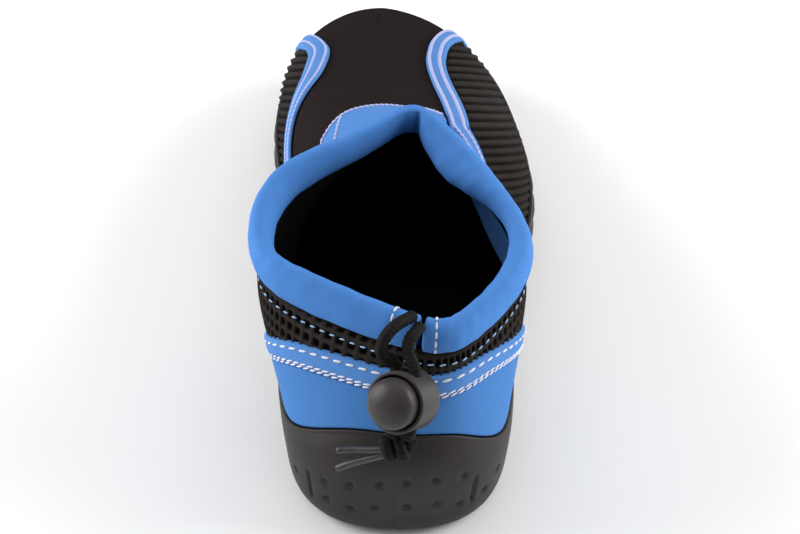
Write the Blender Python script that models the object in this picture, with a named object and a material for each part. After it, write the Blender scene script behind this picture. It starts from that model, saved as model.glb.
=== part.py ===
"""Water shoe for the right foot: a rubber cup sole, a thin stretch upper with mesh sides, a tube collar
with a drawcord, and a push-button cord lock at the heel. +X is the outer side of the foot, +Y the toe, +Z up.

Sizes are in millimetres and become metres when a mesh is made. A place on the shoe is given by `way` and
`rise`: way 0 is the back of the heel, 0 to 1 runs along the outer side to the toe tip, and 1 to 2 back along
the inner side; rise 0 is the bottom edge of the upper, and 1 its collar edge or, in front of the throat, its
ridge.
"""

import math
from collections import namedtuple

import bmesh
import bpy
import numpy as np
from mathutils import Matrix, Vector

MM = 0.001

# Driving dimensions
LAST_LENGTH = 266.0
BALL_WIDTH = 91.0
THROAT_HEIGHT = 82.0
COLLAR_LENGTH = 100.0
COLLAR_WIDTH = 80.0
UPPER_WALL = 2.0
GAP = 0.3
SEAT = 0.6

# Sole
SOLE_THICKNESS_HEEL = 12.0
SOLE_THICKNESS_FORE = 9.0
SOLE_WALL = 2.8
RIM_WALL = 1.8
EDGE_INSET = 6.0
EDGE_HEIGHT = 9.0
ARCH_RISE = 2.5
TOE_SPRING = 9.0
HEEL_BEVEL = 1.0
TREAD_DEPTH = 1.6
TREAD_PITCH = 14.6
RIB_HEIGHT = 1.1
INSOLE_THICKNESS = 3.5

# Collar tube
TUBE_HEIGHT = 13.5
TUBE_THICKNESS = 8.0

# Overlays
COUNTER_THICKNESS = 1.0
TAPE_THICKNESS = 1.3
TAPE_WIDTH = 8.0
BAND_THICKNESS = 1.0
BAND_WIDTH = 7.6
PATCH_THICKNESS = 1.0

# Cord and lock
CORD_DIAMETER = 3.4
CORD_APART = 6.4
TAIL_DIAMETER = 2.3
KNOT_SIZE = (12.5, 8.0, 7.6)
LOCK_CENTRE = (2.1, -5.8, 61.2)
LOCK_BUTTON_WAY = (-0.461, -0.757, 0.464)
LOCK_CORD_WAY = (0.05, 0.50, 0.865)
BARREL_DIAMETER = 19.0
BARREL_LENGTH = 13.0
BARREL_SHELL = 1.1
BARREL_BACK = 1.3
BUTTON_DIAMETER = 15.6
BUTTON_DOME = 4.6
BUTTON_PROUD = 2.2
STEM_DEPTH = 8.5
SLOT_WIDTH = 10.4
HOLE_LENGTH = 4.2
CORD_DEPTH = 5.0

# Outline of the upper's bottom edge, heel to toe: shares of LAST_LENGTH, then of half of BALL_WIDTH.
Outline = namedtuple("Outline", "along outer inner")
OUTLINE = [
    Outline(0.000, 0.00, 0.00),
    Outline(0.012, 0.36, -0.36),
    Outline(0.050, 0.60, -0.60),
    Outline(0.125, 0.725, -0.725),
    Outline(0.230, 0.745, -0.735),
    Outline(0.345, 0.790, -0.740),
    Outline(0.460, 0.905, -0.780),
    Outline(0.575, 1.000, -0.875),
    Outline(0.675, 0.990, -0.965),
    Outline(0.765, 0.915, -1.000),
    Outline(0.850, 0.795, -0.955),
    Outline(0.920, 0.600, -0.830),
    Outline(0.965, 0.370, -0.645),
    Outline(0.990, 0.110, -0.440),
    Outline(1.000, -0.170, -0.170),
]
THROAT_ROW = 6

# Collar edge of the upper: angle round the opening in degrees, from the heel over the outer side to the
# throat (180), then shares of half of COLLAR_WIDTH, of COLLAR_LENGTH from its back, and of THROAT_HEIGHT, the
# tube's lean inwards in degrees, its share of TUBE_HEIGHT and how far it swells inwards in mm.
CollarRow = namedtuple("CollarRow", "angle out along high lean tall swell")
COLLAR_BACK = 9.5
COLLAR = [
    CollarRow(0, 0.175, 0.000, 0.815, 12, 0.85, 0.0),
    CollarRow(40, 0.600, 0.075, 0.815, 6, 0.85, 0.0),
    CollarRow(90, 0.980, 0.405, 0.840, 2, 0.85, 0.0),
    CollarRow(125, 0.825, 0.665, 0.866, 14, 1.00, -1.0),
    CollarRow(155, 0.520, 0.850, 0.935, 20, 1.00, 5.0),
    CollarRow(180, 0.110, 0.970, 1.005, 22, 0.98, -0.6),
    CollarRow(205, -0.285, 0.882, 0.978, 12, 0.84, -0.8),
    CollarRow(235, -0.900, 0.695, 0.905, -4, 0.98, 0.0),
    CollarRow(270, -1.100, 0.425, 0.830, -8, 1.00, 0.0),
    CollarRow(315, -0.725, 0.185, 0.817, 2, 1.05, 0.0),
]

# Ridge of the vamp in front of the throat: shares of LAST_LENGTH, half of BALL_WIDTH and THROAT_HEIGHT.
RidgeRow = namedtuple("RidgeRow", "along out high")
RIDGE = [
    RidgeRow(0.500, 0.000, 0.890),
    RidgeRow(0.620, -0.150, 0.760),
    RidgeRow(0.740, -0.240, 0.645),
    RidgeRow(0.850, -0.240, 0.560),
    RidgeRow(0.915, -0.220, 0.505),
]

# Shape of the upper's section round the shoe: how far its lower and upper parts swell out in mm, the share
# of its height that its lower part rises straight, and the share of its width that the vamp's top runs level.
ShapeRow = namedtuple("ShapeRow", "way swell shoulder lift reach")
SHAPE = [
    ShapeRow(0.00, 7.0, 3.0, 0.38, 0.58),
    ShapeRow(0.12, 4.0, 1.5, 0.38, 0.58),
    ShapeRow(0.30, 4.0, 3.0, 0.40, 0.60),
    ShapeRow(0.46, 5.0, 5.0, 0.60, 0.72),
    ShapeRow(0.62, 2.2, 1.4, 0.62, 0.64),
    ShapeRow(0.80, 1.4, 0.2, 0.58, 0.58),
    ShapeRow(1.00, 2.5, 0.0, 0.60, 0.56),
    ShapeRow(1.20, 3.5, 0.5, 0.74, 0.72),
    ShapeRow(1.38, 6.0, 3.0, 0.84, 0.88),
    ShapeRow(1.54, 10.0, 8.0, 0.72, 0.92),
    ShapeRow(1.68, 7.5, 6.0, 0.48, 0.70),
    ShapeRow(1.88, 4.0, 1.5, 0.38, 0.58),
]

# Top of the sole's wall above the floor, in mm, by way along the outer and the inner side.
RimRow = namedtuple("RimRow", "way outer inner")
RIM = [
    RimRow(0.00, 41.2, 41.2),
    RimRow(0.05, 40.0, 39.0),
    RimRow(0.09, 33.0, 33.0),
    RimRow(0.13, 26.0, 27.8),
    RimRow(0.18, 24.8, 26.6),
    RimRow(0.26, 24.2, 25.4),
    RimRow(0.38, 23.0, 23.0),
    RimRow(0.60, 20.0, 20.0),
    RimRow(0.80, 21.0, 21.0),
    RimRow(0.92, 25.0, 25.0),
    RimRow(1.00, 28.0, 28.0),
]

# Upper edge of the heel tape above the floor, in mm, by way: below 0 on the inner side, above it on the outer.
TapeRow = namedtuple("TapeRow", "way high")
TAPE = [
    TapeRow(-0.320, 28.5),
    TapeRow(-0.260, 37.0),
    TapeRow(-0.175, 49.0),
    TapeRow(-0.120, 55.5),
    TapeRow(-0.060, 59.0),
    TapeRow(0.000, 60.0),
    TapeRow(0.060, 61.0),
    TapeRow(0.110, 60.0),
    TapeRow(0.170, 54.5),
    TapeRow(0.210, 49.0),
    TapeRow(0.270, 38.5),
    TapeRow(0.330, 28.5),
]

# Middle of each side band, from the sole at the toe to the collar.
BandRow = namedtuple("BandRow", "way rise")
BAND_OUTER = [
    BandRow(0.880, 0.28),
    BandRow(0.858, 0.49),
    BandRow(0.815, 0.645),
    BandRow(0.775, 0.705),
    BandRow(0.735, 0.74),
    BandRow(0.660, 0.775),
    BandRow(0.575, 0.80),
    BandRow(0.490, 0.80),
    BandRow(0.440, 0.775),
    BandRow(0.410, 0.76),
    BandRow(0.380, 0.79),
    BandRow(0.358, 0.86),
]
BAND_INNER = [
    BandRow(1.152, 0.25),
    BandRow(1.175, 0.41),
    BandRow(1.203, 0.55),
    BandRow(1.235, 0.645),
    BandRow(1.275, 0.678),
    BandRow(1.345, 0.635),
    BandRow(1.395, 0.56),
    BandRow(1.435, 0.47),
    BandRow(1.470, 0.38),
    BandRow(1.515, 0.32),
    BandRow(1.570, 0.35),
    BandRow(1.620, 0.51),
    BandRow(1.650, 0.69),
    BandRow(1.666, 0.84),
]

# Patch in front of the collar, from the inner to the outer side: where it lies across the shoe and the
# distances of its back and front edges from the heel, in mm.
PatchRow = namedtuple("PatchRow", "out back front")
PATCH = [
    PatchRow(-27.0, 96.0, 112.0),
    PatchRow(-22.0, 97.5, 119.0),
    PatchRow(-15.0, 100.5, 124.0),
    PatchRow(-6.0, 105.5, 128.0),
    PatchRow(3.0, 111.5, 128.5),
    PatchRow(10.0, 113.5, 123.0),
    PatchRow(15.0, 111.5, 116.5),
]

# Courses of the two cord strands from the collar to the lock, and of the two ends under the knot, in mm.
CordRow = namedtuple("CordRow", "out along high")
STRAND_OUTER = [CordRow(6.0, 5.6, 78.6), CordRow(4.4, 2.8, 78.6), CordRow(3.4, 0.2, 76.0)]
STRAND_INNER = [CordRow(0.4, 5.0, 80.6), CordRow(-3.6, 2.6, 78.6), CordRow(-4.6, 0.3, 74.6)]
KNOT_CENTRE = CordRow(0.3, -11.4, 46.6)
TAIL_UPPER = [CordRow(-7.2, -10.6, 45.2), CordRow(-12.7, -9.0, 43.7), CordRow(-18.5, -8.0, 42.3)]
TAIL_LOWER = [CordRow(-6.6, -11.0, 42.6), CordRow(-12.6, -10.0, 39.5), CordRow(-18.6, -9.5, 36.0)]


def smooth_step(x):
    """Share from 0 to 1 that starts and ends level."""
    x = np.clip(x, 0.0, 1.0)
    return x * x * (3.0 - 2.0 * x)


class Spline:
    """Smooth cubic curve through rows of values, open or closed into a loop."""

    def __init__(self, knots, rows, period=None):
        self.period = period
        self.x = np.array(knots, float)
        self.y = np.array(rows, float).reshape(len(knots), -1)
        if period:
            self.x = np.append(self.x, self.x[0] + period)
            self.y = np.vstack([self.y, self.y[:1]])
        self.bend = self._bend()

    def _bend(self):
        step = np.diff(self.x)
        slope = np.diff(self.y, axis=0) / step[:, None]
        count = len(self.x)
        matrix = np.eye(count)
        right = np.zeros_like(self.y)
        for i in range(1, count - 1):
            matrix[i, i - 1 : i + 2] = step[i - 1], 2 * (step[i - 1] + step[i]), step[i]
            right[i] = 6 * (slope[i] - slope[i - 1])
        if self.period:
            matrix[0] = 0
            matrix[0, [0, 1, -2]] = 2 * (step[0] + step[-1]), step[0], step[-1]
            right[0] = 6 * (slope[0] - slope[-1])
            matrix[-1, 0] = -1
        return np.linalg.solve(matrix, right)

    def __call__(self, at):
        at = np.asarray(at, float)
        if self.period:
            at = self.x[0] + np.mod(at - self.x[0], self.period)
        i = np.clip(np.searchsorted(self.x, at, side="right") - 1, 0, len(self.x) - 2)
        step = self.x[i + 1] - self.x[i]
        b = ((at - self.x[i]) / step)[..., None]
        a = 1 - b
        square = (step**2 / 6)[..., None]
        curve = (a**3 - a) * self.bend[i] + (b**3 - b) * self.bend[i + 1]
        return a * self.y[i] + b * self.y[i + 1] + curve * square


def outline_ways():
    """Way of each outline row, by the mean length of the two sides."""
    outer = np.array([(r.outer * BALL_WIDTH / 2, r.along * LAST_LENGTH) for r in OUTLINE])
    inner = np.array([(r.inner * BALL_WIDTH / 2, r.along * LAST_LENGTH) for r in OUTLINE])
    steps = [np.linalg.norm(np.diff(side, axis=0), axis=1) for side in (outer, inner)]
    length = np.concatenate([[0], np.cumsum(sum(steps) / 2)])
    return outer, inner, length


OUTER_POINTS, INNER_POINTS, ROW_LENGTHS = outline_ways()
HALF_ROUND = ROW_LENGTHS[-1]
ROW_WAYS = ROW_LENGTHS / HALF_ROUND
THROAT_WAY = ROW_WAYS[THROAT_ROW]
OUTLINE_LOOP = Spline(
    np.concatenate([ROW_WAYS, 2 - ROW_WAYS[-2:0:-1]]),
    np.vstack([OUTER_POINTS, INNER_POINTS[-2:0:-1]]),
    period=2.0,
)
COLLAR_LOOP = Spline(
    [r.angle for r in COLLAR],
    [
        (
            r.out * COLLAR_WIDTH / 2,
            COLLAR_BACK + r.along * COLLAR_LENGTH,
            r.high * THROAT_HEIGHT,
            r.lean,
            r.tall * TUBE_HEIGHT,
            r.swell,
        )
        for r in COLLAR
    ],
    period=360.0,
)
RIDGE_LINE = Spline(
    np.linspace(0, 1, len(RIDGE) + 1),
    [tuple(COLLAR_LOOP(np.array(180.0))[:3])]
    + [(r.out * BALL_WIDTH / 2, r.along * LAST_LENGTH, r.high * THROAT_HEIGHT) for r in RIDGE],
)
SHAPE_LOOP = Spline([r.way for r in SHAPE], [r[1:] for r in SHAPE], period=2.0)
RIM_LINE = Spline(
    np.concatenate([[r.way for r in RIM], [2 - r.way for r in RIM[-2:0:-1]]]),
    [[r.outer] for r in RIM] + [[r.inner] for r in RIM[-2:0:-1]],
    period=2.0,
)
TAPE_LINE = Spline([r.way for r in TAPE], [[r.high] for r in TAPE])


def side_way(way):
    """Way counted from the heel along its own side, 0 to 1."""
    return 1 - np.abs(np.mod(way, 2.0) - 1)


def sole_bottom(along):
    """Height of the sole's bottom face above the floor at a distance from the heel."""
    share = np.asarray(along, float) / LAST_LENGTH
    arch = ARCH_RISE * np.sin(np.pi * np.clip((share - 0.32) / 0.20, 0, 1)) ** 2
    spring = TOE_SPRING * np.clip((share - 0.74) / 0.26, 0, None) ** 2
    bevel = HEEL_BEVEL * np.clip((0.06 - share) / 0.06, 0, None) ** 2
    return arch + spring + bevel


def cup_floor(along):
    """Height of the cup's inside floor, where the insole lies."""
    share = smooth_step((np.asarray(along, float) / LAST_LENGTH - 0.25) / 0.35)
    thickness = SOLE_THICKNESS_HEEL + share * (SOLE_THICKNESS_FORE - SOLE_THICKNESS_HEEL)
    return sole_bottom(np.clip(along, 0, LAST_LENGTH)) * (1 - HEEL_BEVEL / 10) + thickness


def outward(way):
    """Level unit vector that points out of the outline."""
    step = 1e-4
    along = OUTLINE_LOOP(np.asarray(way) + step) - OUTLINE_LOOP(np.asarray(way) - step)
    normal = np.stack([along[..., 1], -along[..., 0]], -1)
    return normal / np.linalg.norm(normal, axis=-1, keepdims=True)


def top_line(way):
    """Upper edge of the section at a way: the collar edge, or the vamp's ridge in front of the throat."""
    way = np.mod(np.asarray(way, float), 2.0)
    share = side_way(way)
    angle = 180 * np.clip(share / THROAT_WAY, 0, 1)
    collar = COLLAR_LOOP(np.where(way <= 1, angle, 360 - angle))[..., :3]
    ridge = RIDGE_LINE(np.clip((share - THROAT_WAY) / (1 - THROAT_WAY), 0, 1))
    return np.where((share < THROAT_WAY)[..., None], collar, ridge)


def upper_point(way, rise):
    """Point on the outside of the upper."""
    way, rise = np.broadcast_arrays(np.asarray(way, float), np.asarray(rise, float))
    base = OUTLINE_LOOP(way)
    start = np.concatenate([base, (cup_floor(base[..., 1]) + GAP)[..., None]], -1)
    end = top_line(way)
    out = np.concatenate([outward(way), np.zeros_like(base[..., :1])], -1)
    up = np.array([0.0, 0.0, 1.0])
    height = (end - start)[..., 2:]
    level = (start - end) * np.array([1.0, 1.0, 0.0])
    share = side_way(way)
    vamp = smooth_step((share - THROAT_WAY + 0.19) / 0.22)[..., None]
    swell, shoulder, lift, reach = np.moveaxis(SHAPE_LOOP(way)[..., None], -2, 0)
    first = start + up * height * lift + out * swell
    wall_second = end - up * height * 0.36 + out * shoulder
    vamp_second = end + level * reach
    second = wall_second + (vamp_second - wall_second) * vamp
    r = rise[..., None]
    s = 1 - r
    return s**3 * start + 3 * s * s * r * first + 3 * s * r * r * second + r**3 * end


def upper_normal(way, rise):
    """Unit vector out of the upper."""
    step = 1e-3
    low, high = np.clip(rise - step, 0, 1), np.clip(rise + step, 0, 1)
    across = upper_point(way + step, rise) - upper_point(way - step, rise)
    along = upper_point(way, high) - upper_point(way, low)
    normal = np.cross(across, along)
    return normal / np.linalg.norm(normal, axis=-1, keepdims=True)


def rise_at(way, height):
    """Rise at which the upper reaches a height above the floor."""
    rises = np.linspace(0, 1, 60)
    return np.interp(height, upper_point(np.full(60, way), rises)[:, 2], rises)


def off_upper(way, rise, offset):
    """Point at a distance outside the upper."""
    return upper_point(way, rise) + upper_normal(way, rise) * offset


def material(name, colour, roughness):
    """Plain finish with a colour and roughness."""
    made = bpy.data.materials.new(name)
    made.use_nodes = True
    shader = made.node_tree.nodes["Principled BSDF"]
    shader.inputs["Base Color"].default_value = (*colour, 1.0)
    shader.inputs["Roughness"].default_value = roughness
    shader.inputs["Metallic"].default_value = 0.0
    return made


def add_object(name, bm, finish, smooth_deg=40):
    """Object of that name from a bmesh in millimetres."""
    bmesh.ops.scale(bm, vec=(MM, MM, MM), verts=bm.verts)
    mesh = bpy.data.meshes.new(name)
    bm.to_mesh(mesh)
    bm.free()
    mesh.shade_smooth()
    mesh.set_sharp_from_angle(angle=math.radians(smooth_deg))
    mesh.materials.append(finish)
    made = bpy.data.objects.new(name, mesh)
    bpy.context.scene.collection.objects.link(made)
    return made


def closed_sheet(inside, outside):
    """Closed shell between two grids of points, given as rows of equal length."""
    bm = bmesh.new()
    layers = [[[bm.verts.new(p) for p in row] for row in grid] for grid in (inside, outside)]
    rows, columns = len(inside), len(inside[0])
    for layer, turn in zip(layers, (-1, 1)):
        for i in range(rows - 1):
            for j in range(columns - 1):
                corners = [layer[i][j], layer[i][j + 1], layer[i + 1][j + 1], layer[i + 1][j]]
                bm.faces.new(corners[::turn])
    edge = [(0, j) for j in range(columns)]
    edge += [(i, columns - 1) for i in range(1, rows)]
    edge += [(rows - 1, j) for j in range(columns - 2, -1, -1)]
    edge += [(i, 0) for i in range(rows - 2, 0, -1)]
    for (a, b), (c, d) in zip(edge, edge[1:] + edge[:1]):
        bm.faces.new([layers[0][a][b], layers[0][c][d], layers[1][c][d], layers[1][a][b]])
    bmesh.ops.recalc_face_normals(bm, faces=bm.faces)
    return bm


def closed_rings(rings):
    """Closed solid through rings of points; the first and last rings may be flattened to lines."""
    bm = bmesh.new()
    made = [[bm.verts.new(p) for p in ring] for ring in rings]
    count = len(rings[0])
    for ring, after in zip(made, made[1:]):
        for j in range(count):
            k = (j + 1) % count
            bm.faces.new([ring[j], ring[k], after[k], after[j]])
    bmesh.ops.remove_doubles(bm, verts=bm.verts, dist=0.01)
    bmesh.ops.dissolve_degenerate(bm, edges=bm.edges, dist=0.005)
    bmesh.ops.holes_fill(bm, edges=[e for e in bm.edges if e.is_boundary])
    bmesh.ops.recalc_face_normals(bm, faces=bm.faces)
    return bm


UPPER_STATIONS = 36
UPPER_ROWS = 10


def make_upper(finish):
    """Hollow upper, open at the collar and underneath."""
    bm = bmesh.new()
    columns = 2 * UPPER_STATIONS
    bmesh.ops.create_grid(bm, x_segments=columns, y_segments=UPPER_ROWS, size=1.0)
    for vert in bm.verts:
        vert.co = Vector(upper_point(vert.co.x + 1.0, (vert.co.y + 1.0) / 2))
    bmesh.ops.remove_doubles(bm, verts=bm.verts, dist=0.01)
    bmesh.ops.recalc_face_normals(bm, faces=bm.faces)
    made = add_object("upper", bm, finish)
    wall = made.modifiers.new("wall", "SOLIDIFY")
    wall.thickness = UPPER_WALL * MM
    wall.offset = -1.0
    wall.use_even_offset = True
    return made


def tread_ways():
    """Ways of the sole's cross-sections: four to each tread bar."""
    step = TREAD_PITCH / 4 / HALF_ROUND
    return np.linspace(0, 1, round(1 / step) + 1)


def on_bar(index):
    """True for the two sections of each four that are on a tread bar."""
    return index % 4 < 2


def sole_ring(index, way):
    """Closed cross-section of the sole at a way on the outer side and the same way on the inner side."""
    half = {}
    for side, at in (("outer", way), ("inner", 2 - way)):
        base = OUTLINE_LOOP(np.array(at))
        out = np.append(outward(np.array(at)), 0.0)
        rim = float(RIM_LINE(np.array(at))[0])
        ribbed = 0.42 < way < 0.93 and not on_bar(index)
        barred = 0.17 < way < 0.95 and not on_bar(index)
        bottom = float(sole_bottom(base[1])) + TREAD_DEPTH * barred
        dent = RIB_HEIGHT * ribbed
        wall = SEAT + SOLE_WALL
        foot = np.array([base[0], base[1], bottom])
        low = float(cup_floor(base[1])) + GAP
        rises = [float(rise_at(at, low + (rim - low) * share)) for share in (0.0, 0.25, 0.5, 0.75, 1.0)]
        inside = [off_upper(np.array(at), np.array(r), SEAT) for r in rises]
        belly = off_upper(np.array(at), np.array(rises[2]), wall - dent)
        lip = off_upper(np.array(at), np.array(rises[4]), SEAT + RIM_WALL)
        points = [
            foot + out * (wall - EDGE_INSET - dent),
            foot + out * (wall - 0.45 * EDGE_INSET - dent) + (0, 0, 0.13 * EDGE_HEIGHT),
            foot + out * (wall - 0.13 * EDGE_INSET - dent) + (0, 0, 0.50 * EDGE_HEIGHT),
            foot + out * (wall - dent) + (0, 0, EDGE_HEIGHT),
            belly,
            lip + (0, 0, -1.0),
            lip,
            *inside[4:0:-1],
            np.append(inside[0][:2], cup_floor(base[1])),
        ]
        half[side] = points
    return half["outer"] + half["inner"][::-1]


def make_sole(finish):
    """Cup sole with tread bars and side ribs."""
    rings = [sole_ring(i, w) for i, w in enumerate(tread_ways())]
    return add_object("outsole", closed_rings(rings), finish, smooth_deg=30)


def make_insole(finish):
    """Thin footbed that lies in the cup."""
    rings = []
    for way in np.linspace(0, 1, 33):
        half = {}
        for side, at in (("outer", way), ("inner", 2 - way)):
            base = OUTLINE_LOOP(np.array(at))
            edge = base - outward(np.array(at)) * (UPPER_WALL + 2 * GAP)
            low = float(cup_floor(base[1])) + SEAT
            half[side] = [np.append(edge, low), np.append(edge, low + INSOLE_THICKNESS)]
        rings.append(half["outer"] + half["inner"][::-1])
    return add_object("insole", closed_rings(rings), finish)


TUBE_STATIONS = 49
TUBE_SIDES = 10
TUBE_GAP_DEG = 3.0


def tube_frame(angle):
    """Centre of the collar tube at an angle, its up and outward directions, and how far it swells inwards."""
    row = COLLAR_LOOP(np.array(float(angle)))
    step = 0.5
    along = COLLAR_LOOP(np.array(angle + step))[:3] - COLLAR_LOOP(np.array(angle - step))[:3]
    along /= np.linalg.norm(along)
    level = np.array([along[1], -along[0], 0.0])
    level /= np.linalg.norm(level)
    lean = math.radians(row[3])
    up = np.array([0, 0, 1.0]) * math.cos(lean) - level * math.sin(lean)
    up -= along * (up @ along)
    up /= np.linalg.norm(up)
    out = np.cross(along, up)
    tall = row[4]
    centre = row[:3] + up * (tall / 2 + GAP)
    return centre, up * tall / 2, out, row[5]


def make_collar(finish):
    """Padded tube round the opening, cut at the back where the drawcord comes out of both ends."""
    rings = []
    for angle in np.linspace(TUBE_GAP_DEG, 360 - TUBE_GAP_DEG, TUBE_STATIONS):
        centre, up, out, swell = tube_frame(angle)
        ring = []
        for turn in np.linspace(0, 2 * math.pi, TUBE_SIDES, endpoint=False):
            half = TUBE_THICKNESS / 2 + (swell if math.cos(turn) < 0 else 0.0)
            ring.append(centre + out * (half * math.cos(turn) - UPPER_WALL / 2) + up * math.sin(turn))
        rings.append(ring)
    return add_object("collar", closed_rings(rings), finish)


def tape_edges(way):
    """Heights of the upper and lower edges of the heel tape."""
    top = float(TAPE_LINE(np.array(way))[0])
    rim = float(RIM_LINE(np.array(way))[0])
    return top, max(top - TAPE_WIDTH, rim + 2 * GAP)


def wall_sheet(ways, edges, rows, thickness):
    """Closed shell on the upper between a lower and an upper height at each way."""
    inside, outside = [], []
    for way in ways:
        low, high = edges(way)
        rises = [rise_at(way, z) for z in np.linspace(low, high, rows)]
        inside.append([off_upper(np.array(way), np.array(r), SEAT) for r in rises])
        outside.append([off_upper(np.array(way), np.array(r), SEAT + thickness) for r in rises])
    return closed_sheet(inside, outside)


def counter_edges(way):
    """Heights of the lower and upper edges of the heel panel."""
    rim = float(RIM_LINE(np.array(way))[0])
    return rim + 2 * GAP, tape_edges(way)[1] - GAP


def make_counter(finish):
    """Woven panel round the heel between the sole and the tape."""
    bm = wall_sheet(np.linspace(-0.27, 0.28, 31), counter_edges, 5, COUNTER_THICKNESS)
    return add_object("heel_counter", bm, finish)


def make_tape(finish):
    """Folded tape along the top of the heel panel."""
    bm = wall_sheet(np.linspace(-0.315, 0.325, 35), lambda w: tape_edges(w)[::-1], 3, TAPE_THICKNESS)
    return add_object("counter_tape", bm, finish)


def beside(way, rise, across):
    """Way and rise of a point on the upper that lies across from another one by a vector in mm."""
    step = 1e-4
    by_way = (upper_point(way + step, rise) - upper_point(way - step, rise)) / (2 * step)
    by_rise = (upper_point(way, rise + step) - upper_point(way, rise - step)) / (2 * step)
    share, *_ = np.linalg.lstsq(np.stack([by_way, by_rise], 1), across, rcond=None)
    return way + share[0], rise + share[1]


def make_band(name, table, finish):
    """Tape on the upper along a table of places, BAND_WIDTH wide."""
    middle = Spline(np.linspace(0, 1, len(table)), table)
    inside, outside = [], []
    for at in np.linspace(0, 1, 26):
        way, rise = middle(np.array(at))
        ahead = upper_point(*middle(np.array(min(at + 0.01, 1.0))))
        behind = upper_point(*middle(np.array(max(at - 0.01, 0.0))))
        across = np.cross(upper_normal(way, rise), ahead - behind)
        across /= np.linalg.norm(across)
        places = [beside(way, rise, across * BAND_WIDTH * share) for share in (-0.5, 0.0, 0.5)]
        inside.append([off_upper(*place, SEAT) for place in places])
        outside.append([off_upper(*place, SEAT + BAND_THICKNESS) for place in places])
    return add_object(name, closed_sheet(inside, outside), finish)


def on_vamp(out, along):
    """Way and rise of the vamp above a place on the floor."""
    best = None
    for ways in (np.linspace(0.34, 0.8, 80), np.linspace(1.2, 1.66, 80)):
        grid = np.meshgrid(ways, np.linspace(0.45, 1.0, 120), indexing="ij")
        away = np.linalg.norm(upper_point(*grid)[..., :2] - (out, along), axis=-1)
        at = np.unravel_index(np.argmin(away), away.shape)
        if best is None or away[at] < best[0]:
            best = (away[at], grid[0][at], grid[1][at])
    way, rise = best[1:]
    for _ in range(3):
        miss = np.append(np.array((out, along)) - upper_point(way, rise)[:2], 0.0)
        step = 1e-4
        by_way = (upper_point(way + step, rise) - upper_point(way - step, rise))[:2] / (2 * step)
        by_rise = (upper_point(way, rise) - upper_point(way, rise - step))[:2] / step
        share, *_ = np.linalg.lstsq(np.stack([by_way, by_rise], 1), miss[:2], rcond=None)
        way, rise = way + share[0], min(rise + share[1], 0.999)
    return way, rise


def make_patch(finish):
    """Patch sewn on the vamp in front of the collar."""
    edge = Spline([r.out for r in PATCH], [(r.back, r.front) for r in PATCH])
    inside, outside = [], []
    for out in np.linspace(PATCH[0].out, PATCH[-1].out, 15):
        back, front = edge(np.array(out))
        places = [on_vamp(out, along) for along in np.linspace(back, front, 5)]
        inside.append([off_upper(*place, SEAT) for place in places])
        outside.append([off_upper(*place, SEAT + PATCH_THICKNESS) for place in places])
    return add_object("tongue_patch", closed_sheet(inside, outside), finish)


def lock_frame():
    """Matrix of the cord lock: X across the cords, Y along them, Z to the button, from the barrel's middle."""
    cord = Vector(LOCK_CORD_WAY).normalized()
    button = Vector(LOCK_BUTTON_WAY)
    button = (button - cord * button.dot(cord)).normalized()
    turn = Matrix((cord.cross(button), cord, button)).transposed().to_4x4()
    return Matrix.Translation(LOCK_CENTRE) @ turn


def lathe(profile, steps):
    """Solid of revolution about Z from rows of radius and height, both ends on the axis."""
    bm = bmesh.new()
    verts = [bm.verts.new((radius, 0.0, height)) for radius, height in profile]
    edges = [bm.edges.new(pair) for pair in zip(verts, verts[1:])]
    bmesh.ops.spin(
        bm,
        geom=verts + edges,
        cent=(0, 0, 0),
        axis=(0, 0, 1),
        angle=2 * math.pi,
        steps=steps,
        use_merge=True,
    )
    bmesh.ops.remove_doubles(bm, verts=bm.verts, dist=0.001)
    bmesh.ops.recalc_face_normals(bm, faces=bm.faces)
    return bm


def slot_cutter(name, size, centre):
    """Hidden box that cuts a slot along the cords."""
    bm = bmesh.new()
    bmesh.ops.create_cube(bm, size=1.0)
    bmesh.ops.scale(bm, vec=size, verts=bm.verts)
    bmesh.ops.translate(bm, vec=centre, verts=bm.verts)
    bmesh.ops.transform(bm, matrix=lock_frame(), verts=bm.verts)
    made = add_object(name, bm, bpy.data.materials["lock_plastic"])
    made.hide_render = True
    made.display_type = "WIRE"
    return made


def cut(piece, cutter):
    """Takes a cutter out of a piece."""
    modifier = piece.modifiers.new(cutter.name, "BOOLEAN")
    modifier.operation = "DIFFERENCE"
    modifier.solver = "EXACT"
    modifier.object = cutter


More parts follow.
